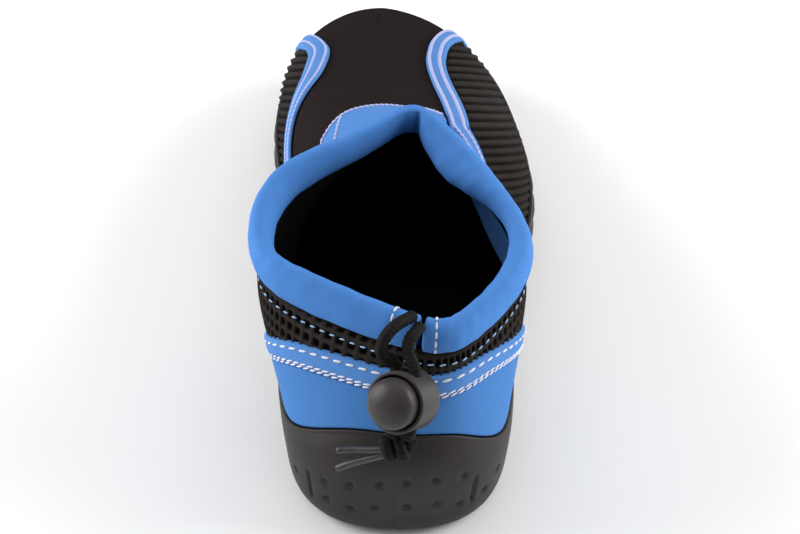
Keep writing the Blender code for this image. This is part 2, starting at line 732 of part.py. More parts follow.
def make_lock(finish):
    """Barrel and push button of the cord lock, with the slot that the cords run through."""
    front = BARREL_LENGTH / 2
    radius = BARREL_DIAMETER / 2
    bore = radius - BARREL_SHELL
    floor = -front + BARREL_BACK
    barrel = lathe(
        [
            (0.0, -front),
            (radius - 2.2, -front),
            (radius - 0.6, -front + 0.7),
            (radius, -front + 2.4),
            (radius, front - 0.5),
            (radius - 0.4, front),
            (bore + 0.3, front),
            (bore, front - 0.4),
            (bore, floor),
            (0.0, floor),
        ],
        28,
    )
    bmesh.ops.transform(barrel, matrix=lock_frame(), verts=barrel.verts)
    barrel = add_object("lock_barrel", barrel, finish)
    hole = (SLOT_WIDTH, 2 * BARREL_DIAMETER, HOLE_LENGTH)
    cut(barrel, slot_cutter("barrel_hole", hole, (0, 0, front - CORD_DEPTH)))
    stem = BUTTON_DIAMETER / 2
    rim = front + BUTTON_PROUD
    button = lathe(
        [
            (0.0, front - STEM_DEPTH),
            (stem - 0.8, front - STEM_DEPTH),
            (stem, front - STEM_DEPTH + 0.8),
            (stem, rim - 0.6),
            (stem - 0.5, rim + 0.6),
            (0.85 * stem, rim + 0.36 * BUTTON_DOME),
            (0.62 * stem, rim + 0.70 * BUTTON_DOME),
            (0.33 * stem, rim + 0.92 * BUTTON_DOME),
            (0.0, rim + BUTTON_DOME),
        ],
        28,
    )
    bmesh.ops.transform(button, matrix=lock_frame(), verts=button.verts)
    button = add_object("lock_button", button, finish)
    slot = (SLOT_WIDTH, 2 * BARREL_DIAMETER, STEM_DEPTH - 1.5)
    cut(button, slot_cutter("button_slot", slot, (0, 0, front - (STEM_DEPTH - 1.5) / 2)))


def add_cord(name, course, diameter, finish):
    """Round cord through a list of places, closed at both ends."""
    curve = bpy.data.curves.new(name, "CURVE")
    curve.dimensions = "3D"
    curve.bevel_depth = diameter / 2 * MM
    curve.bevel_resolution = 2
    curve.use_fill_caps = True
    line = curve.splines.new("POLY")
    line.points.add(len(course) - 1)
    for point, place in zip(line.points, course):
        point.co = (*(np.array(place) * MM), 1.0)
    curve.materials.append(finish)
    made = bpy.data.objects.new(name, curve)
    bpy.context.scene.collection.objects.link(made)
    return made


def smooth_course(table, count):
    """Points along a smooth line through a table of places."""
    return list(Spline(np.linspace(0, 1, len(table)), table)(np.linspace(0, 1, count)))


def make_cords(finish):
    """The two strands through the lock, their knot and its two ends."""
    frame = lock_frame()
    depth = BARREL_LENGTH / 2 - CORD_DEPTH
    for name, start, side in (("cord_outer", STRAND_OUTER, 1), ("cord_inner", STRAND_INNER, -1)):
        through = [frame @ Vector((side * CORD_APART / 2, y, depth)) for y in (10.5, 6.0, 0.0, -6.0, -9.6)]
        through.append(frame @ Vector((side * 2.6 - 0.3, -11.0, 0.9)))
        add_cord(name, smooth_course(start + through[:1], 5)[:-1] + through, CORD_DIAMETER, finish)
    bm = bmesh.new()
    bmesh.ops.create_uvsphere(bm, u_segments=14, v_segments=8, radius=0.5)
    bmesh.ops.scale(bm, vec=KNOT_SIZE, verts=bm.verts)
    bmesh.ops.translate(bm, vec=KNOT_CENTRE, verts=bm.verts)
    add_object("cord_knot", bm, finish)
    add_cord("cord_tail_upper", TAIL_UPPER, TAIL_DIAMETER, finish)
    add_cord("cord_tail_lower", TAIL_LOWER, TAIL_DIAMETER, finish)


CORD_NODES = ("cord_", "lock_", "barrel_hole", "button_slot")


def stand_at_origin():
    """Moves the shoe so that the floor under the middle of its box, cords left out, is the origin."""
    points = []
    for piece in bpy.data.objects:
        if piece.type == "MESH" and not piece.name.startswith(CORD_NODES):
            points += [v.co for v in piece.data.vertices]
    low = np.min(points, axis=0)
    high = np.max(points, axis=0)
    move = -Vector(((low[0] + high[0]) / 2, (low[1] + high[1]) / 2, low[2]))
    for piece in bpy.data.objects:
        piece.location += move
    button = bpy.data.objects["lock_button"]
    centre = Vector(LOCK_CENTRE) * MM
    button.data.transform(Matrix.Translation(-centre))
    button.location += centre


def main():
    """Builds every piece."""
    for old in list(bpy.data.objects):
        bpy.data.objects.remove(old)
    rubber = material("rubber", (0.035, 0.033, 0.032), 0.6)
    black = material("black_stretch", (0.02, 0.018, 0.018), 0.8)
    blue = material("blue_stretch", (0.09, 0.25, 0.68), 0.75)
    cord = material("black_cord", (0.015, 0.014, 0.013), 0.7)
    plastic = material("lock_plastic", (0.03, 0.029, 0.027), 0.4)
    make_sole(rubber)
    make_upper(black)
    make_insole(black)
    make_collar(blue)
    make_counter(blue)
    make_tape(blue)
    make_band("band_outer", BAND_OUTER, blue)
    make_band("band_inner", BAND_INNER, blue)
    make_patch(blue)
    make_lock(plastic)
    make_cords(cord)
    stand_at_origin()


main()
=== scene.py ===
"""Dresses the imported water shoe: a rubber cup sole, a black stretch upper with mesh sides, a blue collar,
heel panel, bands and patch with pale stitching, and a drawcord with its push-button lock.

Shapes are worked out in millimetres from the back edge of the heel, and are moved to the frame's place when a
mesh is made. A place on the upper is a way and a rise. Way 0 is the heel's back, 0 to 1 runs along the outer
side to the toe tip, and 1 to 2 back along the inner side. Rise 0 is the upper's bottom edge, and 1 its collar
edge or, in front of the throat, its ridge.
"""

import logging
import math
from collections.abc import Callable, Sequence
from dataclasses import dataclass, field
from enum import Enum
from typing import NamedTuple

import bmesh
import bpy
import numpy as np
from mathutils import Matrix, Vector


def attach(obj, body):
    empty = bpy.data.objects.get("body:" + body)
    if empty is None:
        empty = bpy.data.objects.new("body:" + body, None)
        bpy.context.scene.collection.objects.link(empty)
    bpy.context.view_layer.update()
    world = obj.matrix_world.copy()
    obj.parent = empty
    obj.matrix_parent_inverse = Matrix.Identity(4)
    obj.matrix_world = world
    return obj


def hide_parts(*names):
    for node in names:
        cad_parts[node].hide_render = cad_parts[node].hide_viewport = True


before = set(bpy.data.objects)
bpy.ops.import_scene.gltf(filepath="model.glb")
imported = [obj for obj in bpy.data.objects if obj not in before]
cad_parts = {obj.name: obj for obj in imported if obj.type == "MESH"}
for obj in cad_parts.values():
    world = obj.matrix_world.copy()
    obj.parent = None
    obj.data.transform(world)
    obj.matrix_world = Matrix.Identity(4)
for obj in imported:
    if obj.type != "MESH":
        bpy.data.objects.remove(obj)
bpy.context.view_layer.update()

LOG = logging.getLogger("water_shoe")
Array = np.ndarray
BMesh = bmesh.types.BMesh
Tree = bpy.types.NodeTree
Socket = bpy.types.NodeSocket
Colour = tuple[float, float, float]
Point = tuple[float, float, float]
Span = tuple[float, float]
MM = 0.001
UP = np.array([0.0, 0.0, 1.0])
# Step in mm from the heel's back edge to the frame's origin
SHIFT = np.array([-0.0400, -132.172, 0.0])
# Distance in metres under which two points are one
WELD = 2e-6
# Step in mm that keeps a cloth's flat places above 0
CLOTH_SHIFT = np.array([60.0, 0.0])


class Outline(NamedTuple):
    """Row of the upper's bottom edge: shares of the length, then of half of the ball's width."""

    along: float
    outer: float
    inner: float


class CollarRow(NamedTuple):
    """Row of the collar edge, at an angle in degrees from the heel over the outer side.

    It holds shares of half the width, of the length and of the throat's height, the tube's lean in degrees, a
    share of the tube's height, and how much the tube swells inwards in mm.
    """

    angle: float
    out: float
    along: float
    high: float
    lean: float
    tall: float
    swell: float


class RidgeRow(NamedTuple):
    """Row of the vamp's ridge: shares of the length, of half the ball's width and of the throat's height."""

    along: float
    out: float
    high: float


class ShapeRow(NamedTuple):
    """Row of the upper's section: swell low and high in mm, and the shares that it rises and runs level."""

    way: float
    swell: float
    shoulder: float
    lift: float
    reach: float


class RimRow(NamedTuple):
    """Height of the sole's rim in mm on both sides at a way."""

    way: float
    outer: float
    inner: float


class HeightRow(NamedTuple):
    """Height above the floor in mm at a way."""

    way: float
    high: float


class Place(NamedTuple):
    """Place on the upper."""

    way: float
    rise: float


class PatchRow(NamedTuple):
    """Row of the patch: where it lies across the shoe, and its back and front edges from the heel, in mm."""

    out: float
    back: float
    front: float


class GrooveRow(NamedTuple):
    """Upright groove in the heel's wall: its way, and its lower and upper ends in mm."""

    way: float
    low: float
    high: float


class Crease(NamedTuple):
    """Soft crease across the vamp: depth, distance from the heel and width in mm."""

    depth: float
    along: float
    width: float


class Lamp(NamedTuple):
    """Square soft light: its name, its place and side in metres, and its power in watts."""

    name: str
    place: Point
    size: float
    power: float


OUTLINE = [
    Outline(0.000, 0.00, 0.00),
    Outline(0.012, 0.36, -0.36),
    Outline(0.050, 0.60, -0.60),
    Outline(0.125, 0.725, -0.725),
    Outline(0.230, 0.745, -0.735),
    Outline(0.345, 0.790, -0.740),
    Outline(0.460, 0.905, -0.780),
    Outline(0.575, 1.000, -0.875),
    Outline(0.675, 0.990, -0.965),
    Outline(0.765, 0.915, -1.000),
    Outline(0.850, 0.795, -0.955),
    Outline(0.920, 0.600, -0.830),
    Outline(0.965, 0.370, -0.645),
    Outline(0.990, 0.110, -0.440),
    Outline(1.000, -0.170, -0.170),
]
COLLAR = [
    CollarRow(0, 0.175, 0.000, 0.815, 12, 0.85, 0.0),
    CollarRow(40, 0.600, 0.075, 0.815, 6, 0.85, 0.0),
    CollarRow(90, 0.980, 0.405, 0.840, 2, 0.85, 0.0),
    CollarRow(125, 0.825, 0.665, 0.866, 14, 1.00, -1.0),
    CollarRow(155, 0.520, 0.850, 0.935, 20, 1.00, 5.0),
    CollarRow(180, 0.110, 0.970, 1.005, 22, 0.98, -0.6),
    CollarRow(205, -0.285, 0.882, 0.978, 12, 0.84, -0.8),
    CollarRow(235, -0.900, 0.695, 0.905, -4, 0.98, 0.0),
    CollarRow(270, -1.100, 0.425, 0.830, -8, 1.00, 0.0),
    CollarRow(315, -0.725, 0.185, 0.817, 2, 1.05, 0.0),
]
RIDGE = [
    RidgeRow(0.500, 0.000, 0.890),
    RidgeRow(0.620, -0.150, 0.760),
    RidgeRow(0.740, -0.240, 0.645),
    RidgeRow(0.850, -0.240, 0.560),
    RidgeRow(0.915, -0.220, 0.505),
]
SHAPE = [
    ShapeRow(0.00, 7.0, 3.0, 0.38, 0.58),
    ShapeRow(0.12, 4.0, 1.5, 0.38, 0.58),
    ShapeRow(0.30, 4.0, 3.0, 0.40, 0.60),
    ShapeRow(0.46, 5.0, 5.0, 0.60, 0.72),
    ShapeRow(0.62, 2.2, 1.4, 0.62, 0.64),
    ShapeRow(0.80, 1.4, 0.2, 0.58, 0.58),
    ShapeRow(1.00, 2.5, 0.0, 0.60, 0.56),
    ShapeRow(1.20, 3.5, 0.5, 0.74, 0.72),
    ShapeRow(1.38, 6.0, 3.0, 0.84, 0.88),
    ShapeRow(1.54, 10.0, 8.0, 0.72, 0.92),
    ShapeRow(1.68, 7.5, 6.0, 0.48, 0.70),
    ShapeRow(1.88, 4.0, 1.5, 0.38, 0.58),
]
RIM = [
    RimRow(0.00, 41.2, 41.2),
    RimRow(0.05, 40.0, 39.0),
    RimRow(0.09, 33.0, 33.0),
    RimRow(0.13, 26.0, 27.8),
    RimRow(0.18, 24.8, 26.6),
    RimRow(0.26, 24.2, 25.4),
    RimRow(0.38, 23.0, 23.0),
    RimRow(0.60, 20.0, 20.0),
    RimRow(0.80, 21.0, 21.0),
    RimRow(0.92, 25.0, 25.0),
    RimRow(1.00, 28.0, 28.0),
]
TAPE = [
    HeightRow(-0.320, 28.5),
    HeightRow(-0.260, 37.0),
    HeightRow(-0.175, 49.0),
    HeightRow(-0.120, 55.5),
    HeightRow(-0.060, 59.0),
    HeightRow(0.000, 60.0),
    HeightRow(0.060, 61.0),
    HeightRow(0.110, 60.0),
    HeightRow(0.170, 54.5),
    HeightRow(0.210, 49.0),
    HeightRow(0.270, 38.5),
    HeightRow(0.330, 28.5),
]
BAND_OUTER = [
    Place(0.880, 0.28),
    Place(0.858, 0.49),
    Place(0.815, 0.645),
    Place(0.775, 0.705),
    Place(0.735, 0.74),
    Place(0.660, 0.775),
    Place(0.575, 0.80),
    Place(0.490, 0.80),
    Place(0.440, 0.775),
    Place(0.410, 0.76),
    Place(0.380, 0.79),
    Place(0.358, 0.86),
]
BAND_INNER = [
    Place(1.152, 0.25),
    Place(1.175, 0.41),
    Place(1.203, 0.55),
    Place(1.235, 0.645),
    Place(1.275, 0.678),
    Place(1.345, 0.635),
    Place(1.395, 0.56),
    Place(1.435, 0.47),
    Place(1.470, 0.38),
    Place(1.515, 0.32),
    Place(1.570, 0.35),
    Place(1.620, 0.51),
    Place(1.650, 0.69),
    Place(1.666, 0.84),
]
PATCH = [
    PatchRow(-27.0, 96.0, 112.0),
    PatchRow(-22.0, 97.5, 119.0),
    PatchRow(-15.0, 100.5, 124.0),
    PatchRow(-6.0, 105.5, 128.0),
    PatchRow(3.0, 111.5, 128.5),
    PatchRow(10.0, 113.5, 123.0),
    PatchRow(15.0, 111.5, 116.5),
]
DIMPLES = [
    HeightRow(-0.110, 14.0),
    HeightRow(-0.067, 19.6),
    HeightRow(-0.043, 22.3),
    HeightRow(-0.017, 25.2),
    HeightRow(0.007, 26.6),
    HeightRow(0.033, 26.8),
    HeightRow(0.060, 25.0),
    HeightRow(0.110, 16.0),
    HeightRow(-0.067, 11.9),
    HeightRow(-0.043, 11.8),
    HeightRow(-0.020, 14.3),
    HeightRow(0.010, 15.0),
    HeightRow(0.037, 15.4),
    HeightRow(0.060, 12.3),
    HeightRow(0.090, 11.9),
]
GROOVES = [GrooveRow(-0.087, 7.5, 20.5), GrooveRow(0.075, 9.5, 22.5)]
CREASES = [Crease(0.5, 176, 7), Crease(0.35, 196, 6), Crease(0.3, 222, 8)]
# Rounding of the sole's bottom edge: shares inwards and upwards
BOTTOM_EDGE = [(1.0, 0.0), (0.45, 0.13), (0.13, 0.5), (0.0, 1.0)]
# Lengthwise cuts in the tread: place and width, as shares of its width from its middle
SIPES = [(0.0, 0.03), (0.3, 0.025)]
# Where the sole's wall passes its points, as shares of its height
WALL_KNOTS = [0.0, 0.10, 0.22, 0.38, 0.68, 1.0]
# Soft waves of the collar tube: height, count round the opening and twist round the tube
WAVES = [(0.012, 23, 1), (0.01, 37, -2)]
# Turned-in ends of the collar tube: degrees inwards and share of its size
TUBE_END = [(8.0, 0.45), (2.0, 0.50), (0.2, 0.62), (-0.2, 0.82), (0.1, 0.95)]
# Middle lines of the strands from inside the collar to the lock, and of the sealed ends below the knot
OUTER_START = [(6.2, 9.0, 77.5), (5.2, 6.3, 78.0), (3.4, 2.8, 77.8), (2.9, 0.2, 75.0)]
INNER_START = [
    (4.1, 12.0, 79.0),
    (1.5, 8.0, 80.7),
    (-1.2, 5.0, 80.8),
    (-4.2, 2.2, 78.4),
    (-5.0, 0.3, 74.1),
]
SEALED_ENDS = [
    [(-3.6, -11.2, 46.2), (-7.2, -10.6, 45.2), (-12.7, -9.0, 43.7), (-18.5, -8.0, 42.3)],
    [(-2.6, -11.4, 44.8), (-6.6, -11.0, 42.6), (-12.6, -10.0, 39.5), (-18.6, -9.5, 36.0)],
]
LAMPS = [
    Lamp("soft_top", (0.0, 0.15, 1.3), 1.4, 4.5),
    Lamp("left_window", (-1.1, 0.1, 0.55), 0.9, 16.0),
    Lamp("right_fill", (1.1, 0.1, 0.55), 0.9, 15.5),
]


def smooth_step(share: Array) -> Array:
    """Share from 0 to 1 that starts and ends level."""
    share = np.clip(share, 0.0, 1.0)
    return share * share * (3.0 - 2.0 * share)


def hump(at: Array, centre: float, width: float) -> Array:
    """Soft bump of height 1 about a centre."""
    return np.exp(-(((np.asarray(at) - centre) / width) ** 2))


def unit(vectors: Array) -> Array:
    """Vectors of length 1."""
    return vectors / np.maximum(np.linalg.norm(vectors, axis=-1, keepdims=True), 1e-9)


def within(at: Array, start: float, end: float, fade: float) -> Array:
    """1 between two places, fading to 0 towards them."""
    return smooth_step((at - start) / fade) * smooth_step((end - at) / fade)


def run_along(path: Array) -> Array:
    """Length along a line at each of its points."""
    return np.concatenate([[0], np.cumsum(np.linalg.norm(np.diff(path, axis=0), axis=1))])


def column_of(share: Array, count: int) -> Array:
    """Number of the column that lies at a share of a grid's width."""
    return np.rint(share * count).astype(int)


class Spline:
    """Smooth cubic curve through rows of values, open or closed into a loop."""

    def __init__(self, knots: Sequence[float], rows: Sequence | Array, period: float | None = None) -> None:
        """Solves the curve's bend at each knot.

        Args:
            knots: Where each row lies along the curve.
            rows: Values at each knot.
            period: Length of the loop, or None for an open curve.
        """
        self.period = period
        self.x = np.array(knots, float)
        self.y = np.array(rows, float).reshape(len(self.x), -1)
        if period:
            self.x = np.append(self.x, self.x[0] + period)
            self.y = np.vstack([self.y, self.y[:1]])
        step = np.diff(self.x)
        slope = np.diff(self.y, axis=0) / step[:, None]
        matrix = np.eye(len(self.x))
        right = np.zeros_like(self.y)
        for i in range(1, len(self.x) - 1):
            matrix[i, i - 1 : i + 2] = step[i - 1], 2 * (step[i - 1] + step[i]), step[i]
            right[i] = 6 * (slope[i] - slope[i - 1])
        if period:
            matrix[0] = 0
            matrix[0, [0, 1, -2]] = 2 * (step[0] + step[-1]), step[0], step[-1]
            right[0] = 6 * (slope[0] - slope[-1])
            matrix[-1, 0] = -1
        self.bend = np.linalg.solve(matrix, right)

    def __call__(self, at: Array | float) -> Array:
        """Values at places along the curve.

        Args:
            at: Places, of any shape.

        Returns:
            Values, with one more axis than the places.
        """
        at = np.asarray(at, float)
        if self.period:
            at = self.x[0] + np.mod(at - self.x[0], self.period)
        i = np.clip(np.searchsorted(self.x, at, side="right") - 1, 0, len(self.x) - 2)
        step = self.x[i + 1] - self.x[i]
        b = ((at - self.x[i]) / step)[..., None]
        a = 1 - b
        curve = (a**3 - a) * self.bend[i] + (b**3 - b) * self.bend[i + 1]
        return a * self.y[i] + b * self.y[i + 1] + curve * (step**2 / 6)[..., None]


@dataclass
class Last:
    """The shoe's shape, in millimetres from the heel's back edge.

    A span of the sole is its start and its length, as shares of the shoe's length. The vamp's span is how far
    before the throat it starts and how far it takes to form, as ways.
    """

    length: float = 266.0
    ball_width: float = 91.0
    throat_height: float = 82.0
    throat_row: int = 6
    collar_length: float = 100.0
    collar_width: float = 80.0
    collar_back: float = 9.5
    tube_height: float = 13.5
    sole_heel: float = 12.0
    sole_fore: float = 9.0
    arch_rise: float = 2.5
    arch_span: Span = (0.32, 0.20)
    toe_spring: float = 9.0
    spring_span: Span = (0.74, 0.26)
    heel_bevel: float = 1.0
    bevel_span: float = 0.06
    thinning_span: Span = (0.25, 0.35)
    floor_follows: float = 0.9
    vamp_span: Span = (0.19, 0.22)
    shoulder_drop: float = 0.36
    gap: float = 0.3
    half_round: float = field(init=False)
    throat_way: float = field(init=False)

    def __post_init__(self) -> None:
        """Makes the curves from the tables."""
        half = self.ball_width / 2
        outer = np.array([(r.outer * half, r.along * self.length) for r in OUTLINE])
        inner = np.array([(r.inner * half, r.along * self.length) for r in OUTLINE])
        steps = [np.linalg.norm(np.diff(side, axis=0), axis=1) for side in (outer, inner)]
        lengths = np.concatenate([[0], np.cumsum(sum(steps) / 2)])
        self.half_round = float(lengths[-1])
        ways = lengths / self.half_round
        self.throat_way = float(ways[self.throat_row])
        self.outline = Spline(
            np.concatenate([ways, 2 - ways[-2:0:-1]]), np.vstack([outer, inner[-2:0:-1]]), period=2.0
        )
        self.collar = Spline([r.angle for r in COLLAR], [self._collar_row(r) for r in COLLAR], period=360.0)
        ridge = [(r.out * half, r.along * self.length, r.high * self.throat_height) for r in RIDGE]
        self.ridge = Spline(np.linspace(0, 1, len(RIDGE) + 1), [tuple(self.collar(180.0)[:3]), *ridge])
        self.shape = Spline([r.way for r in SHAPE], [r[1:] for r in SHAPE], period=2.0)
        back = RIM[-2:0:-1]
        self.rim = Spline(
            [r.way for r in RIM] + [2 - r.way for r in back],
            [[r.outer] for r in RIM] + [[r.inner] for r in back],
            period=2.0,
        )
        self.tape = Spline([r.way for r in TAPE], [[r.high] for r in TAPE])

    def _collar_row(self, row: CollarRow) -> tuple[float, ...]:
        """Collar row in millimetres and degrees."""
        return (
            row.out * self.collar_width / 2,
            self.collar_back + row.along * self.collar_length,
            row.high * self.throat_height,
            row.lean,
            row.tall * self.tube_height,
            row.swell,
        )

    def side_way(self, way: Array) -> Array:
        """Way counted from the heel along its own side, 0 to 1."""
        return 1 - np.abs(np.mod(way, 2.0) - 1)

    def sole_bottom(self, along: Array) -> Array:
        """Height of the sole's bottom face.

        Args:
            along: Distances from the heel.

        Returns:
            Heights above the floor.
        """
        share = np.asarray(along, float) / self.length
        arch = np.sin(np.pi * np.clip((share - self.arch_span[0]) / self.arch_span[1], 0, 1))
        spring = np.clip((share - self.spring_span[0]) / self.spring_span[1], 0, None)
        bevel = np.clip((self.bevel_span - share) / self.bevel_span, 0, None)
        return self.arch_rise * arch**2 + self.toe_spring * spring**2 + self.heel_bevel * bevel**2

    def cup_floor(self, along: Array) -> Array:
        """Height of the cup's inside floor.

        Args:
            along: Distances from the heel.

        Returns:
            Heights above the floor.
        """
        start, over = self.thinning_span
        share = smooth_step((np.asarray(along, float) / self.length - start) / over)
        thickness = self.sole_heel + share * (self.sole_fore - self.sole_heel)
        return self.sole_bottom(np.clip(along, 0, self.length)) * self.floor_follows + thickness

    def outward(self, way: Array) -> Array:
        """Level direction out of the outline.

        Args:
            way: Ways round the shoe.

        Returns:
            Unit vectors with three parts.
        """
        step = 1e-4
        along = self.outline(np.asarray(way) + step) - self.outline(np.asarray(way) - step)
        return unit(np.stack([along[..., 1], -along[..., 0], np.zeros_like(along[..., 0])], -1))

    def top_line(self, way: Array) -> Array:
        """Upper ends of the sections: the collar edge, or the ridge in front of the throat.

        Args:
            way: Ways round the shoe.

        Returns:
            Points in millimetres.
        """
        share = self.side_way(way)
        angle = 180 * np.clip(share / self.throat_way, 0, 1)
        collar = self.collar(np.where(np.mod(way, 2.0) <= 1, angle, 360 - angle))[..., :3]
        ridge = self.ridge(np.clip((share - self.throat_way) / (1 - self.throat_way), 0, 1))
        return np.where((share < self.throat_way)[..., None], collar, ridge)

    def point(self, way: Array, rise: Array) -> Array:
        """Point on the outside of the upper.

        Args:
            way: Ways round the shoe.
            rise: Rises up it.

        Returns:
            Points in millimetres.
        """
        way, rise = np.broadcast_arrays(np.asarray(way, float), np.asarray(rise, float))
        base = self.outline(way)
        start = np.concatenate([base, (self.cup_floor(base[..., 1]) + self.gap)[..., None]], -1)
        end = self.top_line(way)
        out = self.outward(way)
        height = (end - start)[..., 2:]
        level = (start - end) * np.array([1.0, 1.0, 0.0])
        before, over = self.vamp_span
        vamp = smooth_step((self.side_way(way) - self.throat_way + before) / over)[..., None]
        swell, shoulder, lift, reach = np.moveaxis(self.shape(way)[..., None], -2, 0)
        first = start + UP * height * lift + out * swell
        wall_second = end - UP * height * self.shoulder_drop + out * shoulder
        second = wall_second + (end + level * reach - wall_second) * vamp
        r = rise[..., None]
        s = 1 - r
        return s**3 * start + 3 * s * s * r * first + 3 * s * r * r * second + r**3 * end

    def normal(self, way: Array, rise: Array) -> Array:
        """Direction out of the upper.

        Args:
            way: Ways round the shoe.
            rise: Rises up it.

        Returns:
            Unit vectors.
        """
        step = 1e-3
        low = np.clip(np.asarray(rise) - step, 0, 1)
        high = np.clip(np.asarray(rise) + step, 0, 1)
        across = self.point(way + step, rise) - self.point(way - step, rise)
        return unit(np.cross(across, self.point(way, high) - self.point(way, low)))

    def off(self, way: Array, rise: Array, offset: Array | float) -> Array:
        """Point at a distance outside the upper."""
        offset = np.asarray(offset, float)
        return self.point(way, rise) + self.normal(way, rise) * offset[..., None]

    def rise_at(self, ways: Array, heights: Array) -> Array:
        """Rise at which the upper reaches a height.

        Args:
            ways: Ways round the shoe.
            heights: Height for each way.

        Returns:
            Rise for each way.
        """
        rises = np.linspace(0, 1, 80)
        levels = self.point(np.asarray(ways)[:, None], rises[None, :])[..., 2]
        heights = np.broadcast_to(heights, len(ways))
        return np.array([np.interp(high, row, rises) for high, row in zip(heights, levels)])

    def climb(self, ways: Array, rises: Array) -> Array:
        """Length up the section from its bottom edge.

        Args:
            ways: Ways round the shoe.
            rises: Rise for each way.

        Returns:
            Length for each way.
        """
        steps = np.linspace(0, 1, 60)
        rows = self.point(np.asarray(ways)[:, None], steps[None, :])
        lengths = np.cumsum(np.linalg.norm(np.diff(rows, axis=1), axis=-1), axis=1)
        lengths = np.concatenate([np.zeros((len(ways), 1)), lengths], 1)
        return np.array([np.interp(r, steps, row) for r, row in zip(rises, lengths)])

    def beside(self, way: Array, rise: Array, shift: Array) -> tuple[Array, Array]:
        """Places that lie across from others.

        Args:
            way: Ways of the others.
            rise: Rises of the others.
            shift: Vectors from them, in mm.

        Returns:
            Ways and rises.
        """
        step = 1e-4
        by_way = (self.point(way + step, rise) - self.point(way - step, rise)) / (2 * step)
        by_rise = (self.point(way, rise + step) - self.point(way, rise - step)) / (2 * step)
        slopes = np.stack([by_way, by_rise], -1)
        turned = np.swapaxes(slopes, -1, -2)
        moved = np.linalg.solve(turned @ slopes, turned @ shift[..., None])[..., 0]
        return way + moved[..., 0], rise + moved[..., 1]

    def on_vamp(self, spots: Array) -> tuple[Array, Array]:
        """Way and rise of the vamp above spots of the floor.

        Args:
            spots: Places across and along the shoe, in rows.

        Returns:
            Ways and rises.
        """
        ways = np.concatenate([np.linspace(0.34, 0.8, 80), np.linspace(1.2, 1.66, 80)])
        grid = np.stack(np.meshgrid(ways, np.linspace(0.45, 0.999, 90), indexing="ij"), -1).reshape(-1, 2)
        level = self.point(grid[:, 0], grid[:, 1])[:, :2]
        near = np.array([np.argmin(((level - spot) ** 2).sum(1)) for spot in spots])
        way, rise = grid[near].T
        step = 1e-4
        # From the nearest place of the grid, three steps along the slope close the rest
        for _ in range(3):
            by_way = (self.point(way + step, rise) - self.point(way - step, rise))[:, :2] / (2 * step)
            by_rise = (self.point(way, rise) - self.point(way, rise - step))[:, :2] / step
            miss = spots - self.point(way, rise)[:, :2]
            moved = np.linalg.solve(np.stack([by_way, by_rise], -1), miss[..., None])[..., 0]
            way = way + np.clip(moved[:, 0], -0.02, 0.02)
            rise = np.clip(rise + np.clip(moved[:, 1], -0.05, 0.05), 0.3, 0.999)
        return way, rise


def put(tree: Tree, kind: str, inputs: dict | None = None, **settings: object) -> bpy.types.Node:
    """Adds a node.

    Args:
        tree: Tree that takes it.
        kind: Blender's name of the node.
        inputs: Values or sockets for its inputs, by name or number.
        settings: Values of its properties.

    Returns:
        The node.
    """
    node = tree.nodes.new(kind)
    for key, value in settings.items():
        setattr(node, key, value)
    for key, value in (inputs or {}).items():
        if isinstance(value, Socket):
            tree.links.new(value, node.inputs[key])
        else:
            node.inputs[key].default_value = value
    return node


def calc(tree: Tree, operation: str, *values: object) -> Socket:
    """Output of a math node on values or sockets."""
    return put(tree, "ShaderNodeMath", dict(enumerate(values)), operation=operation).outputs[0]


def mix_colour(tree: Tree, share: object, first: object, second: object) -> Socket:
    """Output of a colour mix."""
    return put(tree, "ShaderNodeMix", {0: share, 6: first, 7: second}, data_type="RGBA").outputs[2]


def new_group(name: str, inputs: dict[str, str], outputs: dict[str, str]) -> Tree:
    """Empty shader group with named sockets.

    Args:
        name: Name of the group.
        inputs: Kind of each input, by name.
        outputs: Kind of each output, by name.

    Returns:
        The group, with its two end nodes.
    """
    tree = bpy.data.node_groups.new(name, "ShaderNodeTree")
    for way, sockets in (("INPUT", inputs), ("OUTPUT", outputs)):
        for socket, kind in sockets.items():
            tree.interface.new_socket(name=socket, in_out=way, socket_type=f"NodeSocket{kind}")
    tree.nodes.new("NodeGroupInput")
    tree.nodes.new("NodeGroupOutput")
    return tree


def weave_group() -> Tree:
    """Threads of a knit or twill: a height that runs along the cloth's own directions.

    Returns:
        Group with Vector, Turns and Slant inputs and a Height output.
    """
    tree = new_group("weave", {"Vector": "Vector", "Turns": "Float", "Slant": "Float"}, {"Height": "Float"})
    given, made = tree.nodes
    parts = put(tree, "ShaderNodeSeparateXYZ", {0: given.outputs["Vector"]})
    across = calc(tree, "MULTIPLY", parts.outputs[0], given.outputs["Turns"])
    along = calc(tree, "MULTIPLY", parts.outputs[1], given.outputs["Turns"])
    knit = calc(tree, "MULTIPLY", calc(tree, "SINE", across), calc(tree, "SINE", along))
    twill = calc(tree, "SINE", calc(tree, "ADD", across, along))
    mixed = put(tree, "ShaderNodeMix", {0: given.outputs["Slant"], 2: knit, 3: twill}, data_type="FLOAT")
    height = calc(tree, "MULTIPLY_ADD", mixed.outputs[0], 0.5, 0.5)
    tree.links.new(height, made.inputs["Height"])
    return tree


def mottle_group() -> Tree:
    """Soft and fine unevenness of a surface.

    Returns:
        Group with Vector and Scale inputs, and Broad and Fine outputs.
    """
    tree = new_group("mottle", {"Vector": "Vector", "Scale": "Float"}, {"Broad": "Float", "Fine": "Float"})
    given, made = tree.nodes
    for socket, times, detail in (("Broad", 1.0, 2.0), ("Fine", 14.0, 3.0)):
        scale = calc(tree, "MULTIPLY", given.outputs["Scale"], times)
        noise = put(tree, "ShaderNodeTexNoise", {"Vector": given.outputs["Vector"], "Scale": scale})
        noise.inputs["Detail"].default_value = detail
        tree.links.new(noise.outputs[0], made.inputs[socket])
    return tree


class Weave(Enum):
    """How threads cross in a cloth, as the slant that the weave group takes."""

    KNIT = 0.0
    TWILL = 1.0


